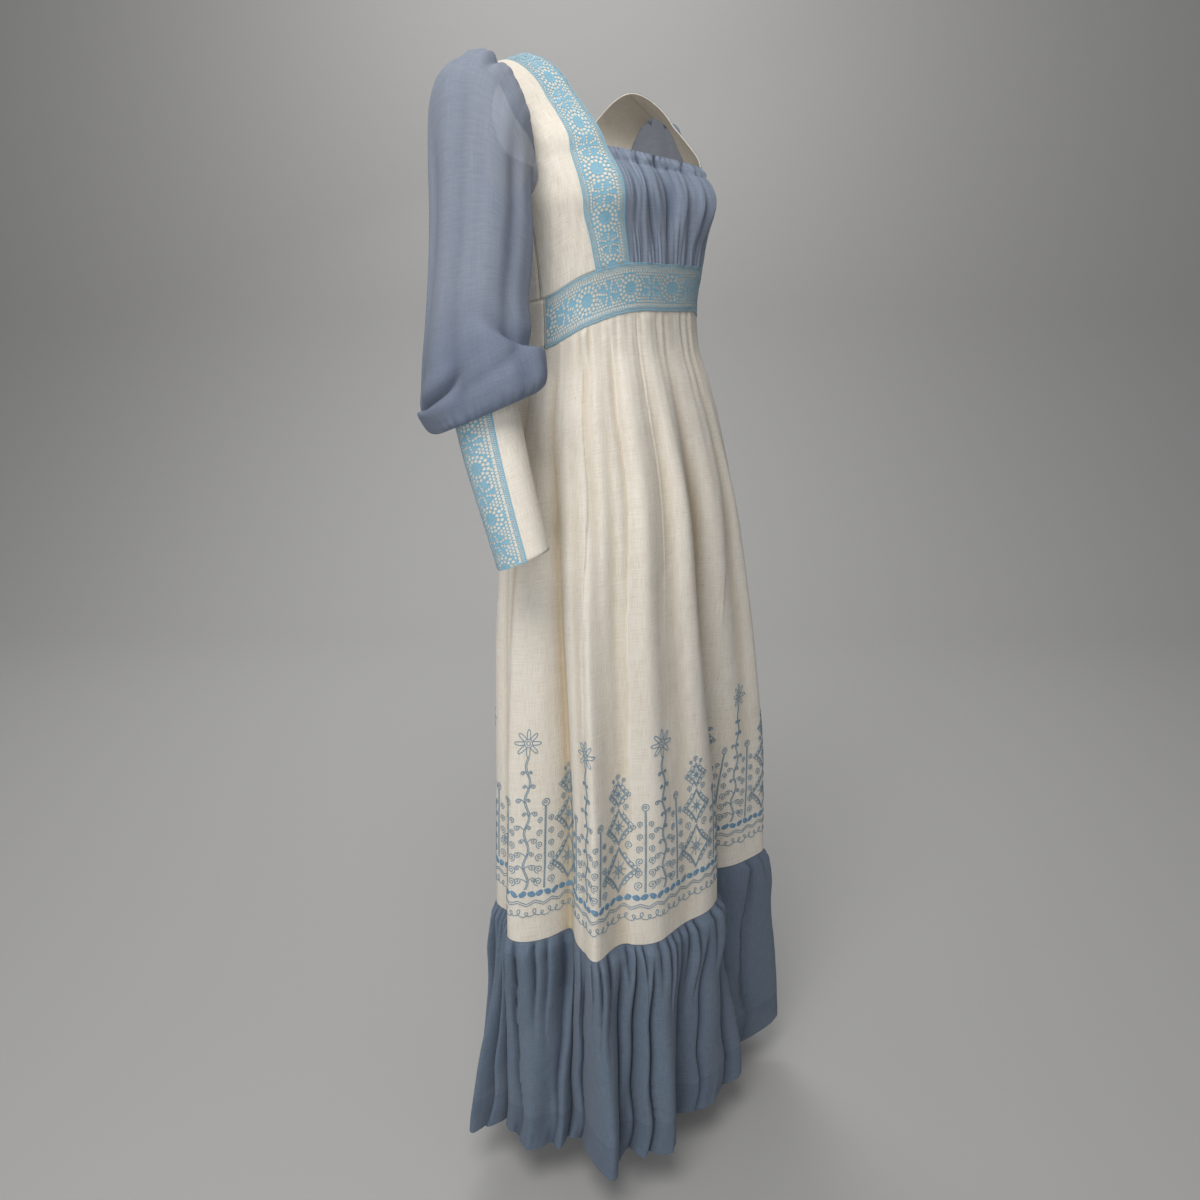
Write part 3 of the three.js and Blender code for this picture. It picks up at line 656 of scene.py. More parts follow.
def shell(name, surface, columns, rows, ring=False, lift=0.0, thickness=0.0, span=40):
    """A sheet of cloth on a surface, lifted off it, with a thickness in millimetres if it has one."""
    points, normals = sample(surface, columns, rows, ring)
    points = points + normals * lift * MM
    obj = mesh_object(name, points, grid_faces(points, normals, ring), cloth_uv(points))
    # The fold value, from which the materials paint shade into the valleys of the folds.
    folds = obj.data.attributes.new("fold", "FLOAT", "POINT")
    folds.data.foreach_set("value", fold_height(points, normals, ring, span).astype(np.float32).ravel())
    if thickness:
        solid = obj.modifiers.new("thickness", "SOLIDIFY")
        solid.thickness = thickness * MM
        solid.offset = 0
    return obj


# ---------------------------------------------------------------- lace
LACE_REPEAT = 56.0  # millimetres from one round medallion to the next
LACE_CELL = 0.55
LACE_EDGE_BAND = 6.6
HOLE_REACH = 3  # how far round a hole its thread is raised
MEDALLION_RINGS = [(8.9, 12, 1.8), (13.0, 17, 1.75)]  # radius, number of holes, their half size
EYE = {"radius": 3.1, "count": 6, "long": 0.62, "wide": 0.5}  # the small holes in a medallion's middle
NET = {"along": 3.6, "across": 3.2, "long": 1.5, "wide": 1.4}  # the ground's holes
EDGE_ROWS = [  # distance from the edge, pitch, half length, half width
    (5.6, 2.5, 1.0, 0.8),
    (3.7, 2.3, 0.85, 0.65),
    (2.0, 2.3, 0.8, 0.6),
]


def ring_of_holes(middle, radius, count, start, long, wide):
    angles = 2 * np.pi * (np.arange(count) + start) / count
    return [(middle + radius * math.cos(a), radius * math.sin(a), long, wide, a) for a in angles]


def leaf_holes(middle):
    """A cross of holes between two medallions."""
    holes = []
    for hand in (-1, 1):
        for n in range(3):
            lean, out = 2.4 + 0.9 * n, (4.6 + 3.1 * n) * hand
            holes.append((middle + hand * (3.4 + 2.9 * n), hand * (n - 1) * 0.8, 1.1, 1.6, 0.3 * hand))
            holes.append((middle + hand * lean, out, 1.35, 1.4, 0))
            holes.append((middle - hand * lean, out, 1.35, 1.4, 0))
    return holes


def lace_holes(length, width):
    """The lace's small holes as rows of (along, across, half length, half width, angle), in millimetres."""
    half, core = width / 2, width / 2 - LACE_EDGE_BAND
    count = max(1, round(length / LACE_REPEAT))
    repeat = length / count
    medallions = np.arange(count + 1) * repeat
    leaves = medallions[:-1] + repeat / 2
    holes = []
    for middle in medallions:
        for radius, number, size in MEDALLION_RINGS:
            holes += ring_of_holes(middle, radius, number, 0.5, size, size)
        holes += ring_of_holes(middle, EYE["radius"], EYE["count"], 0, EYE["long"], EYE["wide"])
    for middle in leaves:
        holes += leaf_holes(middle)
    for row, across in enumerate(np.arange(-core + 1.4, core, NET["across"])):
        for along in np.arange(0.8 + NET["along"] / 2 * (row % 2), length, NET["along"]):
            from_medallion = np.hypot(medallions - along, across).min()
            from_leaf = np.hypot((leaves - along) / 11.5, across / 12.5).min()
            if from_medallion > 16 and from_leaf > 1:
                holes.append((along, across, NET["long"], NET["wide"], 0))
    holes = [hole for hole in holes if abs(hole[1]) < core and 1 < hole[0] < length - 1]
    for row, (inset_by, pitch, long, wide) in enumerate(EDGE_ROWS):
        for side in (-1, 1):
            for n in range(int(length / pitch) - 1):
                along = (n + 1 + 0.5 * (row % 2)) * pitch
                holes.append((along, side * (half - inset_by), long, wide, 0.9 * side))
    return np.array(holes)


def lace(name, surface, length, width):
    """A lace strip with raised threads round its cut holes. u runs across it, v along it."""
    columns, rows = int(width / LACE_CELL), int(length / LACE_CELL)
    half = width / 2
    across, along = np.meshgrid(np.linspace(-half, half, columns + 1), np.linspace(0, length, rows + 1))
    height = 0.1 * np.sin(along * 2 * np.pi / 1.7 + across) * np.sin(across * 2 * np.pi / 1.9)
    edge = half - np.abs(across)
    height += 0.3 * hump(edge - 0.7, 0.6) + 0.2 * hump(edge - 6.8, 0.5)
    nearest = np.full(across.shape, 9.0)
    moved_along, moved_across = along.copy(), across.copy()
    for a, b, size_a, size_b, angle in lace_holes(length, width):
        rows_near = slice(max(int((a - HOLE_REACH) / LACE_CELL), 0), int((a + HOLE_REACH) / LACE_CELL) + 2)
        low, high = b + half - HOLE_REACH, b + half + HOLE_REACH
        window_near = (rows_near, slice(max(int(low / LACE_CELL), 0), int(high / LACE_CELL) + 2))
        da, db = along[window_near] - a, across[window_near] - b
        ca, sa = math.cos(angle), math.sin(angle)
        radius = np.hypot((ca * da + sa * db) / size_a, (ca * db - sa * da) / size_b)
        nearest[window_near] = np.minimum(nearest[window_near], radius)
        height[window_near] += 0.2 * hump(radius - 1.4, 0.35)
        grow = np.where((radius > 0.4) & (radius < 1), 1 / np.maximum(radius, 0.4) - 1, 0)
        moved_along[window_near] += grow * da
        moved_across[window_near] += grow * db
    u, v = np.clip(moved_across / width + 0.5, 0, 1), np.clip(moved_along / length, 0, 1)
    _, normals = sample(surface, columns, rows, False)
    points = surface(u, v) * MM + normals * (LACE_LIFT + height[..., None]) * MM
    faces = grid_faces(points, normals)
    inside = nearest.ravel()[faces]
    keep = ~(((inside < 1).sum(1) >= 4) | (inside.mean(1) < 0.95))
    return mesh_object(name, points, faces[keep], np.stack([across, along], -1) * MM)


def part_of(surface, start, end, top=0, bottom=1):
    """The part of a surface that a strip covers, across it and down it."""
    return lambda u, v: surface(lerp(start, end, u), lerp(top, bottom, v))


# ---------------------------------------------------------------- the embroidered border
BORDER_REPEATS = 11
BORDER_LINE = 0.6  # half width of a stitched line, in millimetres
BUD_LINE = 0.9
STITCH_HEIGHT = 0.75
STITCH_FOOT = 0.15  # how high a stitched line's edges lie over the cloth
BUD_ROW = 68.0  # height of the row of solid buds over the skirt's lower edge
BUD_PITCH = 22
BUD_SIZE = [5.6, 3.7]
BORDER_MIDDLE = 110
TOWER = [(23, 32), (17.5, 25), (12, 17)]  # half width and half height of each lozenge
VINE_HEIGHT = 178
ROSETTE = {"height": 203, "radius": 18}  # height over the row of buds
FERN_PITCH = 17


def arc_points(path, step=1.6):
    """A path resampled to even steps."""
    path = np.asarray(path, float)
    length = lengths(path)
    at = np.linspace(0, length[-1], max(2, int(length[-1] / step) + 1))
    return np.stack([np.interp(at, length, path[:, 0]), np.interp(at, length, path[:, 1])], 1)


def ways(path):
    """The directions along a flat path and across it."""
    tangent = unit(np.gradient(path, axis=0))
    return tangent, np.stack([-tangent[:, 1], tangent[:, 0]], 1)


def curl_line(path, pitch, radius):
    """A line of open loops along a path, as a pen draws them in one stroke."""
    path = arc_points(path, pitch / 16)
    tangent, normal = ways(path)
    phase = 2 * np.pi * np.arange(len(path)) / 16
    return path + radius * (tangent * np.cos(phase)[:, None] + normal * (np.sin(phase)[:, None] + 0.4))


def chain(start, end, pitch, width):
    """Two strands twisted round each other from start to end."""
    step = np.array(end, float) - start
    length = np.hypot(*step)
    t = np.linspace(0, 1, int(length / 0.9))
    line = np.outer(1 - t, start) + np.outer(t, end)
    swing = width * np.sin(2 * np.pi * t * length / pitch)[:, None] * np.array([-step[1], step[0]]) / length
    return [line + swing, line - swing]


def round_points(middle, radius, angle):
    return np.stack([middle[0] + radius * np.cos(angle), middle[1] + radius * np.sin(angle)], 1)


def circle(middle, radius, count):
    return round_points(middle, radius, np.linspace(0, 2 * np.pi, count))


def coil(middle, radius, turns, start=0.0, hand=1):
    """A spiral from its middle outwards."""
    t = np.linspace(0, 1, int(18 * turns))
    return round_points(middle, radius * t, start + hand * 2 * np.pi * turns * t)


def rosette(middle, radius):
    """An eight-petalled flower: one line round the petals, with a double ring in the middle."""
    angle = np.linspace(0, 2 * np.pi, 121)
    reach = radius * (0.66 + 0.34 * np.cos(8 * angle))
    petals = round_points(middle, reach, angle)
    return [petals, circle(middle, 0.3 * radius, 24), circle(middle, 0.15 * radius, 14)]


def lozenge(middle, half_width, half_height, grow=0.0):
    """A closed lozenge with slightly hollow sides."""
    corners = np.array([(0, -1), (1, 0), (0, 1), (-1, 0), (0, -1)], float)
    corners = corners * [half_width + grow, half_height + 1.3 * grow]
    t = np.linspace(0, 1, 12)[:-1, None]
    sides = [lerp(a, b, t) * (1 - 0.16 * np.sin(np.pi * t)) for a, b in zip(corners[:-1], corners[1:])]
    return np.concatenate(sides + [corners[:1]]) + middle


def lozenge_tower(foot):
    """Three lozenges on top of each other, each with a double outline, a row of loops and a small star."""
    lines, height = [], foot[1]
    for half_width, half_height in TOWER:
        middle = np.array([foot[0], height + half_height])
        lines += [lozenge(middle, half_width, half_height, grow) for grow in (0, -2.6)]
        outline = lozenge(middle, half_width, half_height, 4.2)
        lines += [curl_line(outline[part], 6.6, 2.6) for part in (slice(3, 20), slice(25, 42))]
        lines.append(circle(middle, 0.22 * half_width, 20))
        for angle in np.pi * np.arange(4) / 4:
            arm = 0.46 * half_width * np.array([math.cos(angle), 1.25 * math.sin(angle)])
            lines.append(np.array([middle - arm, middle, middle + arm]))
        height += 2 * half_height + 1.5
        for hand in (-1, 1):
            beside = (foot[0] + hand * (0.52 * half_width + 2), height)
            lines.append(coil(beside, 0.25 * half_width, 2, -math.pi / 2, hand))
    return lines + [coil((foot[0], height + 4.5), 4, 2, -math.pi / 2)]


def vine(foot, height):
    """A winding double stem with curled leaves by turns on its left and right."""
    t = np.linspace(0, 1, 70)
    swing = 3 * np.sin(2 * np.pi * 4 * t)
    stem = np.stack([foot[0] + swing, foot[1] + height * t], 1)
    lines = [stem, stem + [1.9, 0]]
    for n in range(9):
        base = stem[int((n + 0.6) * 7)]
        hand = 1 if n % 2 else -1
        reach, radius = 13 - 0.8 * n, 4.9 - 0.25 * n
        for way, share in ((hand, 1), (-hand, 0.7)):
            s = np.linspace(0, 1, 10)
            bend = base + np.stack([way * share * reach * s, 9 * s * (1.6 - s)], 1)
            lines += [bend, coil(bend[-1] - [0, radius * 0.6], radius * share, 1.8, math.pi / 2, -way)]
    return lines


def fern(foot, height):
    """A twisted stem with pairs of curled leaves that grow smaller up to a bud."""
    top = np.array([foot[0], foot[1] + height])
    lines = chain(foot, top, 6, 1.3)
    pairs = int(height / FERN_PITCH)
    for n in range(pairs):
        radius, rise = 6.2 - 2.4 * n / pairs, foot[1] + (n + 0.6) * FERN_PITCH
        for hand in (-1, 1):
            middle = (foot[0] + hand * (radius + 2.4), rise)
            lines.append(coil(middle, radius, 2, -math.pi / 2, -hand))
    return lines + [circle(top + [0, 5.5], 4.6, 24), coil(top + [0, 5.5], 2.8, 1.6)]


def border_lines(total):
    """The border's stitched lines and solid buds on the flat cloth, as (along, height over its edge)."""
    repeat = total / BORDER_REPEATS
    lines, buds = [], []
    for k in range(BORDER_REPEATS):
        lines += lozenge_tower((k * repeat, BUD_ROW + 8))
        middle = (k + 0.5) * repeat
        lines += vine((middle, BUD_ROW + 7), VINE_HEIGHT)
        lines += rosette((middle, BUD_ROW + ROSETTE["height"]), ROSETTE["radius"])
        for share in (0.29, 0.71):
            lines += fern(((k + share) * repeat, BUD_ROW + 7), 112 - 14 * (k % 2))
    count = 2 * round(total / BUD_PITCH)
    pitch = total / count
    for n in range(count):
        bud = coil((0, 0), 1, 3.2, n * 0.7) * BUD_SIZE
        lean = math.radians(35 if n % 2 else -35)
        turned = bud @ np.array([[math.cos(lean), math.sin(lean)], [-math.sin(lean), math.cos(lean)]])
        buds.append(turned + [(n + 0.5) * pitch, BUD_ROW])
    along = np.linspace(0, total, 8 * count + 1)
    zigzag = 5 * np.abs(along / pitch % 2 - 1)
    for drop in (9, 12.2):
        lines.append(np.stack([along, BUD_ROW - drop - zigzag], 1))
    lines.append(curl_line(np.stack([along, BUD_ROW - 23 - zigzag], 1), pitch, -4.2))
    return lines, buds


def ribbon(lines, place, half, height):
    """Raised stitched lines as one mesh: each is a low ridge along its points."""
    flat, lift, faces, start = [], [], [], 0
    for line in lines:
        line = arc_points(line)
        _, normal = ways(line)
        flat.append(np.stack([line - normal * half, line, line + normal * half], 1).reshape(-1, 2))
        lift.append(np.tile([STITCH_FOOT, height, STITCH_FOOT], len(line)))
        n = np.arange(len(line) - 1)[:, None] * 3 + start
        faces += [n + [0, 3, 4, 1], n + [1, 4, 5, 2]]
        start += 3 * len(line)
    return place(np.concatenate(flat), np.concatenate(lift)[:, None]), np.concatenate(faces)


def border():
    """The two meshes of the border, laid on the skirt's own surface along its cloth."""
    turn = np.linspace(-180, 180, 2401)
    ring = skirt_point(turn, np.full_like(turn, -SKIRT_END + BORDER_MIDDLE))
    length = lengths(ring)
    lines, buds = border_lines(length[-1])

    def place(flat, lift):
        at = np.interp(flat[:, 0] % length[-1], length, turn)
        z = -SKIRT_END + flat[:, 1]
        point = skirt_point(at, z)
        step_turn = skirt_point(at + 0.15, z) - skirt_point(at - 0.15, z)
        step_down = skirt_point(at, z - 1) - skirt_point(at, z + 1)
        normal = unit(np.cross(step_down, step_turn))
        outward = np.sign((normal * (point - [0, -60, 0]) * [1, 1, 0]).sum(1, keepdims=True))
        return (point + normal * outward * lift) * MM

    made = []
    for name, strokes, half in (("border_lines", lines, BORDER_LINE), ("border_buds", buds, BUD_LINE)):
        points, faces = ribbon(strokes, place, half, STITCH_HEIGHT)
        made.append(mesh_object(name, points, faces))
    return made


# ---------------------------------------------------------------- materials
class Paint:
    """A new material, with short calls for the nodes that the cloths share."""

    def __init__(self, name):
        self.made = bpy.data.materials.new(name)
        self.made.use_nodes = True
        self.nodes, self.links = self.made.node_tree.nodes, self.made.node_tree.links
        self.nodes.clear()
        self.output = self.node("OutputMaterial")
        self.shader = self.node("BsdfPrincipled")
        self.links.new(self.shader.outputs[0], self.output.inputs[0])

    def node(self, kind, **values):
        """A node with these settings and input values, where _ stands for a space in an input's name."""
        made = self.nodes.new("ShaderNode" + kind)
        for key, value in values.items():
            if key in made.bl_rna.properties:
                setattr(made, key, value)
            else:
                made.inputs[key.replace("_", " ")].default_value = value
        return made

    def cloth(self, scale):
        """Cloth coordinates in metres, times a scale along each way."""
        coordinates = self.node("UVMap", uv_map="cloth")
        mapping = self.node("Mapping", Scale=(*scale, 1))
        self.links.new(coordinates.outputs[0], mapping.inputs[0])
        return mapping.outputs[0]

    def noise(self, scale, **values):
        made = self.node("TexNoise", Scale=1.0, **values)
        self.links.new(self.cloth(scale), made.inputs["Vector"])
        return made.outputs[0]

    def math(self, operation, *values):
        """A sum or product of other nodes' outputs and plain numbers."""
        made = self.node("Math", operation=operation)
        for socket, value in zip(made.inputs, values):
            if isinstance(value, float):
                socket.default_value = value
            else:
                self.links.new(value, socket)
        return made.outputs[0]

    def ramp(self, factor, low, high, dark, light):
        """A colour that runs from dark to light as a factor goes from low to high."""
        made = self.node("ValToRGB")
        first, last = made.color_ramp.elements
        first.position, last.position = low, high
        first.color, last.color = (*dark, 1), (*light, 1)
        self.links.new(factor, made.inputs[0])
        return made.outputs[0]

    def multiply(self, first, second, factor=1.0):
        mixed = self.node("Mix", data_type="RGBA", blend_type="MULTIPLY")
        mixed.inputs[0].default_value = factor
        self.links.new(first, mixed.inputs[6])
        self.links.new(second, mixed.inputs[7])
        return mixed.outputs[2]

    def painted_fold_shade(self, colour, shade_colour):
        """The colour, multiplied by a darker one down in the folds: painted shade in the valleys of the
        folds.
        """
        fold = self.node("Attribute", attribute_name="fold")
        return self.multiply(colour, self.ramp(fold.outputs["Fac"], 0.12, 0.56, shade_colour, WHITE))

    def bump(self, height, strength, distance):
        made = self.node("Bump", Strength=strength, Distance=distance)
        self.links.new(height, made.inputs["Height"])
        self.links.new(made.outputs[0], self.shader.inputs["Normal"])

    def weave(self, pitch, strength, slub):
        """Over-and-under threads of a plain weave, with the slubs standing a little higher."""
        heights = []
        for direction in ("X", "Y"):
            threads = self.node("TexWave", bands_direction=direction, Distortion=1.2, Scale=1.0)
            self.links.new(self.cloth((1 / pitch, 1 / pitch)), threads.inputs[0])
            heights.append(threads.outputs["Fac"])
        self.bump(self.math("MULTIPLY_ADD", slub, 3.0, self.math("ADD", *heights)), strength, 0.0004)

    def surface(self, colour, **values):
        """The shader's colour and the values of its other inputs."""
        self.links.new(colour, self.shader.inputs["Base Color"])
        for key, value in values.items():
            self.shader.inputs[key.replace("_", " ")].default_value = value

    def mix(self, share, first, second):
        made = self.node("MixShader")
        made.inputs[0].default_value = share
        self.links.new(first, made.inputs[1])
        self.links.new(second, made.inputs[2])
        return made.outputs[0]


def cotton():
    """Unbleached slub cotton: plain weave with thick places in both ways and a few dark flecks."""
    paint = Paint("cream_cotton")
    slubs = [paint.noise(scale, Detail=3.0, Roughness=0.6) for scale in ((1300, 45), (40, 1500))]
    slub = paint.math("MULTIPLY", paint.math("ADD", *slubs), 0.5)
    threads = paint.ramp(slub, 0.39, 0.55, (0.69, 0.635, 0.54), (0.83, 0.78, 0.70))
    tint = paint.ramp(paint.noise((14, 9), Detail=2.0), 0.3, 0.7, (0.95, 0.935, 0.91), WHITE)
    flecks = paint.ramp(paint.noise((420, 260), Detail=1.0), 0.74, 0.79, WHITE, (0.66, 0.56, 0.42))
    colour = paint.multiply(paint.multiply(threads, tint), flecks, 0.8)
    # Painted shade: the cotton is darker down in its folds.
    colour = paint.painted_fold_shade(colour, (0.72, 0.65, 0.54))
    paint.surface(colour, Roughness=0.92, Sheen_Weight=0.15, Specular_IOR_Level=0.2)
    paint.weave(0.0042, 0.35, slub)
    return paint.made


def voile(name, colours, opacity, glow, doubled=None):
    """Sheer fine cotton: a light open weave that lets some of what is behind it through.

    doubled gives where down the cloth, in metres, a second layer starts and is full, and its tint.
    """
    paint = Paint(name)
    light, dark, shade_colour = colours
    thread, cross = (paint.noise(scale, Detail=2.0) for scale in ((900, 60), (50, 800)))
    both = paint.math("MULTIPLY", thread, cross)
    # Painted shade: the voile is darker down in its folds.
    colour = paint.painted_fold_shade(paint.ramp(both, 0.14, 0.36, dark, light), shade_colour)
    if doubled:
        start, end, tint = doubled
        place = paint.node("SeparateXYZ")
        paint.links.new(paint.cloth((1, 1)), place.inputs[0])
        down = paint.node("MapRange", From_Min=-start, From_Max=-end)
        paint.links.new(place.outputs["Y"], down.inputs["Value"])
        colour = paint.multiply(colour, paint.ramp(down.outputs[0], 0.0, 1.0, WHITE, tint))
    paint.surface(colour, Roughness=0.85, Sheen_Weight=0.12, Specular_IOR_Level=0.15)
    paint.weave(0.0028, 0.2, both)
    glowing = paint.node("BsdfTranslucent")
    paint.links.new(colour, glowing.inputs[0])
    lit = paint.mix(glow, paint.shader.outputs[0], glowing.outputs[0])
    clear = paint.node("BsdfTransparent")
    paint.links.new(paint.mix(opacity, clear.outputs[0], lit), paint.output.inputs[0])
    return paint.made


def lace_thread():
    """Soft sky-blue cotton thread, with fine twisted strands and a little unevenness from the dye."""
    paint = Paint("blue_lace")
    strands = paint.noise((1400, 900), Detail=3.0, Roughness=0.7)
    colour = paint.ramp(strands, 0.3, 0.68, (0.17, 0.36, 0.48), (0.30, 0.53, 0.65))
    tint = paint.ramp(paint.noise((60, 40), Detail=2.0), 0.3, 0.7, (0.86, 0.92, 0.93), WHITE)
    paint.surface(paint.multiply(colour, tint), Roughness=0.8, Sheen_Weight=0.25)
    paint.bump(strands, 0.6, 0.0003)
    return paint.made


def stitching(name, light, dark):
    """Embroidery thread, a little uneven in colour and height."""
    paint = Paint(name)
    noise = paint.node("TexNoise", Scale=900.0, Detail=2.0)
    paint.links.new(paint.node("TexCoord").outputs["Object"], noise.inputs["Vector"])
    paint.surface(paint.ramp(noise.outputs[0], 0.35, 0.65, dark, light), Roughness=0.75)
    paint.bump(noise.outputs[0], 0.4, 0.0002)
    return paint.made


def paper(name, colour):
    """Plain matt paper for the floor and wall, very slightly cloudy."""
    paint = Paint(name)
    noise = paint.node("TexNoise", Scale=3.0, Detail=2.0)
    light = tuple(1.02 * c for c in colour)
    paint.surface(paint.ramp(noise.outputs[0], 0.3, 0.7, colour, light), Roughness=0.9)
    return paint.made


# ---------------------------------------------------------------- camera, room and light
CAMERA_PLACE = (-0.93421, -0.74366, -0.26986)
CAMERA_TURN = -52.836  # degrees round the dress from its front
CAMERA_DOWN = 17.692
LENS = 26.956
SENSOR = 36
FLOOR = -1.438
FLOOR_REACH = 14
WALL_DISTANCE = 3.2
WALL_HEIGHT = 8.0
WALL_REACH = 40
COVE_RADIUS = 1.2
SKY = {"colour": (0.93, 0.95, 1.0, 1), "strength": 0.3}
LIGHTS = [  # name, place, aim, size, power, colour
    ("key", (-1.05, -0.45, 1.0), (0, 0, -0.4), 1.2, 25.5, (1.0, 0.985, 0.96)),
    ("fill", (-1.95, -0.65, -0.5), (0, 0, -1.0), 1.2, 11.5, (0.97, 0.985, 1.0)),
    ("wall", (0.9, 0.9, 1.6), (2.6, 1.9, -0.2), 1.4, 34, (1.0, 1.0, 1.0)),
    ("behind", (1.3, 1.9, 1.4), (0, 0, -0.6), 1.8, 22, (0.97, 0.985, 1.0)),
]


def camera():
    data = bpy.data.cameras.new("camera")
    data.lens, data.sensor_width = LENS, SENSOR
    data.clip_start, data.clip_end = 0.05, 60
    made = bpy.data.objects.new("camera", data)
    made.location = CAMERA_PLACE
    turn, down = math.radians(CAMERA_TURN), math.radians(CAMERA_DOWN)
    back = Vector((math.sin(turn) * math.cos(down), -math.cos(turn) * math.cos(down), math.sin(down)))
    made.rotation_mode = "QUATERNION"
    made.rotation_quaternion = (-back).to_track_quat("-Z", "Y")
    bpy.context.scene.collection.objects.link(made)
    bpy.context.scene.camera = made


def backdrop():
    """A pale floor that curves up into a wall behind the dress."""
    turn = math.radians(CAMERA_TURN)
    ahead = Vector((-math.sin(turn), math.cos(turn), 0))
    sideways = Vector((ahead.y, -ahead.x, 0))
    profile = [(-FLOOR_REACH, 0.0)]
    for k in range(17):
        angle = math.pi / 2 * k / 16
        along = WALL_DISTANCE - COVE_RADIUS + COVE_RADIUS * math.sin(angle)
        profile.append((along, COVE_RADIUS - COVE_RADIUS * math.cos(angle)))
    profile.append((WALL_DISTANCE, WALL_HEIGHT))
    points = np.array([
        [tuple(ahead * along + sideways * aside + Vector((0, 0, FLOOR + up))) for along, up in profile]
        for aside in (-WALL_REACH, WALL_REACH)
    ])
    stage = mesh_object("backdrop", points, grid_faces(points))
    stage.data.materials.append(paper("backdrop_paper", (0.43, 0.424, 0.412)))


def area_light(name, place, aim, size, power, colour):
    data = bpy.data.lights.new(name, "AREA")
    data.shape, data.size, data.energy, data.color = "DISK", size, power, colour
    made = bpy.data.objects.new(name, data)
    made.location = place
    made.rotation_mode = "QUATERNION"
    made.rotation_quaternion = (Vector(aim) - Vector(place)).to_track_quat("-Z", "Y")
    bpy.context.scene.collection.objects.link(made)


def lights():
    world = bpy.data.worlds.new("studio")
    world.use_nodes = True
    background = world.node_tree.nodes["Background"]
    background.inputs[0].default_value = SKY["colour"]
    background.inputs[1].default_value = SKY["strength"]
    bpy.context.scene.world = world
    for light in LIGHTS:
        area_light(*light)
    bpy.context.scene.view_settings.view_transform = "Standard"


# ---------------------------------------------------------------- the dress
SHEER = [(0.33, 0.372, 0.455), (0.285, 0.325, 0.41), (0.60, 0.63, 0.70)]  # colour: light, dark, and the painted shade in folds
SLATE = [(0.165, 0.21, 0.275), (0.13, 0.17, 0.23), (0.34, 0.37, 0.42)]
LAYERED = [(0.275, 0.325, 0.415), (0.225, 0.27, 0.355), (0.4, 0.43, 0.5)]
FACING_SLEEVE = (0.135, 0.185, (0.70, 0.74, 0.80))  # a second layer: its start, where it is full, its tint
FACING_RUFFLE = (0.275, 0.2755, (0.87, 0.885, 0.90))
BORDER_THREAD = [(0.26, 0.36, 0.43), (0.16, 0.24, 0.30)]
BUD_THREAD = [(0.21, 0.37, 0.51), (0.12, 0.24, 0.36)]


def dress_piece(piece, paint, cloth_slot, nodes, **cut):
    """Gives a piece its material and its place, and hides the solids that it stands for."""
    piece.data.materials.append(paint)
    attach(piece, "root")
    if nodes:
        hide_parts(*nodes)


def cloth_piece(part, surface, grid, look, form, end="", **cut):
    """A piece of cloth on a grid of columns and rows, its look a material and its slot."""
    piece = shell(f"{part}_cloth{end}", surface, *grid, **form)
    dress_piece(piece, *look, [part + end], **cut)


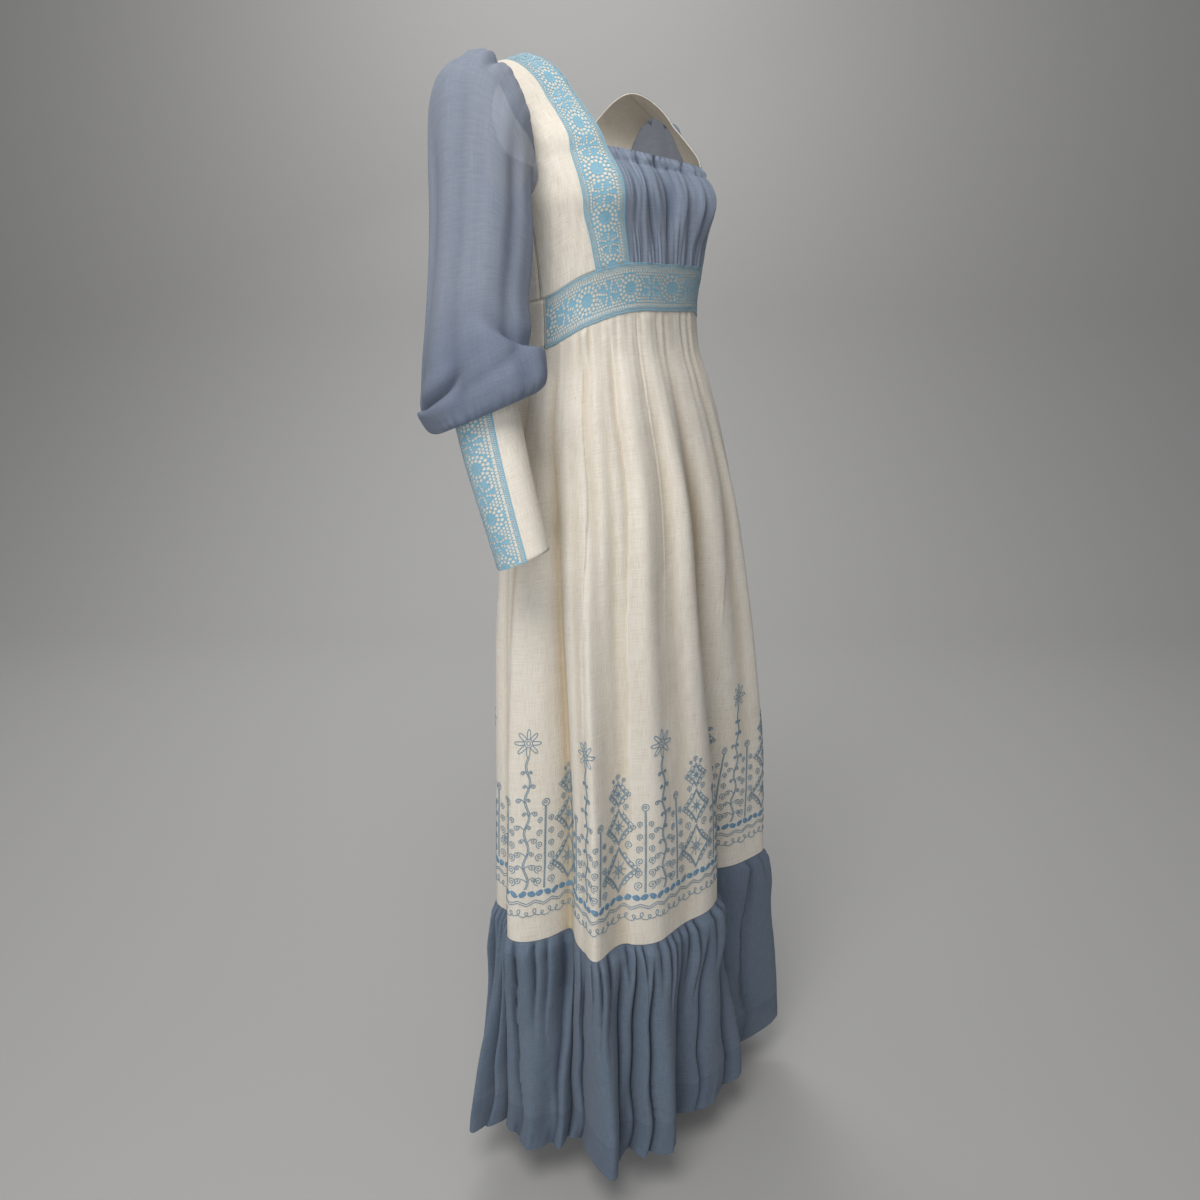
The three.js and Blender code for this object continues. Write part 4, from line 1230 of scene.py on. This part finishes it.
def build():
    """Every piece of the dress. flat is the size of its cut, and area what its shape leaves of that; neither
    is used.
    """
    cream = cotton(), "cream_cotton"
    sheer = voile("blue_voile", SHEER, 0.8, 0.22, FACING_SLEEVE), "blue_voile"
    slate = voile("slate_voile", SLATE, 0.97, 0.06, FACING_RUFFLE), "slate_voile"
    layered = voile("inset_voile", LAYERED, 0.985, 0.08), "blue_voile"
    thread = lace_thread(), "blue_lace"
    thick, ring = {"thickness": 1.0}, {"ring": True}
    for end, side in (("_right", -1), ("_left", 1)):
        front, back, cuff = bodice(side, True), bodice(side, False), tube(CUFF, side)
        cut = {"flat": (0.13, 0.33), "held": "hung", "area": 0.026}
        cloth_piece("bodice_front", front, (50, 80), cream, thick, end, **cut)
        cut = {"flat": (0.2, 0.33), "held": "hung", "area": 0.046}
        cloth_piece("bodice_back", back, (60, 84), cream, thick, end, **cut)
        piece = lace("strap_lace" + end, part_of(front, 0, LACE_EDGE), length=262, width=46)
        dress_piece(piece, *thread, ["lace_strap" + end], flat=(0.046, 0.27), held="hung", area=0.0082)
        arm, form = sleeve(side), ring | {"span": 30}
        cloth_piece("sleeve", arm, (190, 150), sheer, form, end, flat=(0.38, 0.4), held="gathered")
        cloth_piece("cuff", cuff, (72, 50), cream, ring | thick, end, flat=(0.21, 0.175), held="hung")
        piece = lace("cuff_strip" + end, part_of(cuff, -4 / 24, 3 / 24, 0.02, 1), length=168, width=50)
        dress_piece(piece, *thread, ["cuff_lace" + end], flat=(0.05, 0.17), held="hung", area=0.0056)
    cloth_piece("bust_inset", inset, (240, 66), layered, {"span": 20}, flat=(0.23, 0.12), held="gathered")
    front, back, middle = band(-88, 88), band(88.4, 271.6), band(-86.8, 86.8)
    cloth_piece("waistband_front", front, (120, 10), cream, thick, flat=(0.33, 0.053), held="hung")
    piece = lace("waistband_strip", lambda u, v: middle(v, lerp(-0.018, 1.012, u)), length=330, width=51)
    dress_piece(piece, *thread, ["waistband_lace"], flat=(0.051, 0.33), held="hung", area=0.0112)
    cloth_piece("waistband_back", back, (120, 10), cream, thick, flat=(0.33, 0.053), held="hung")
    raised = {"lift": 1.6, "thickness": 0.9}
    cloth_piece("placket", placket, (12, 60), cream, raised, flat=(0.016, 0.23), held="hung")
    cloth_piece("skirt", skirt, (560, 124), cream, ring, flat=(1.5, 0.76), held="gathered")
    lines, buds = border()
    dress_piece(lines, stitching("border_thread", *BORDER_THREAD), "blue_lace", [])
    dress_piece(buds, stitching("bud_thread", *BUD_THREAD), "blue_lace", [])
    cloth_piece("ruffle", ruffle, (620, 76), slate, ring, flat=(1.9, 0.32), held="gathered")


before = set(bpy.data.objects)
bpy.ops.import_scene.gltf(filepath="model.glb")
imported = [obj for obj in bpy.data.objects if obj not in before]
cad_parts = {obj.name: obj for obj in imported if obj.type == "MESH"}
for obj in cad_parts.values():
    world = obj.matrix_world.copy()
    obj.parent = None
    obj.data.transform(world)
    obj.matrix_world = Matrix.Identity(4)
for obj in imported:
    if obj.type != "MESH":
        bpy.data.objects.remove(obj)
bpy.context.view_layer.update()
camera()
backdrop()
lights()
build()
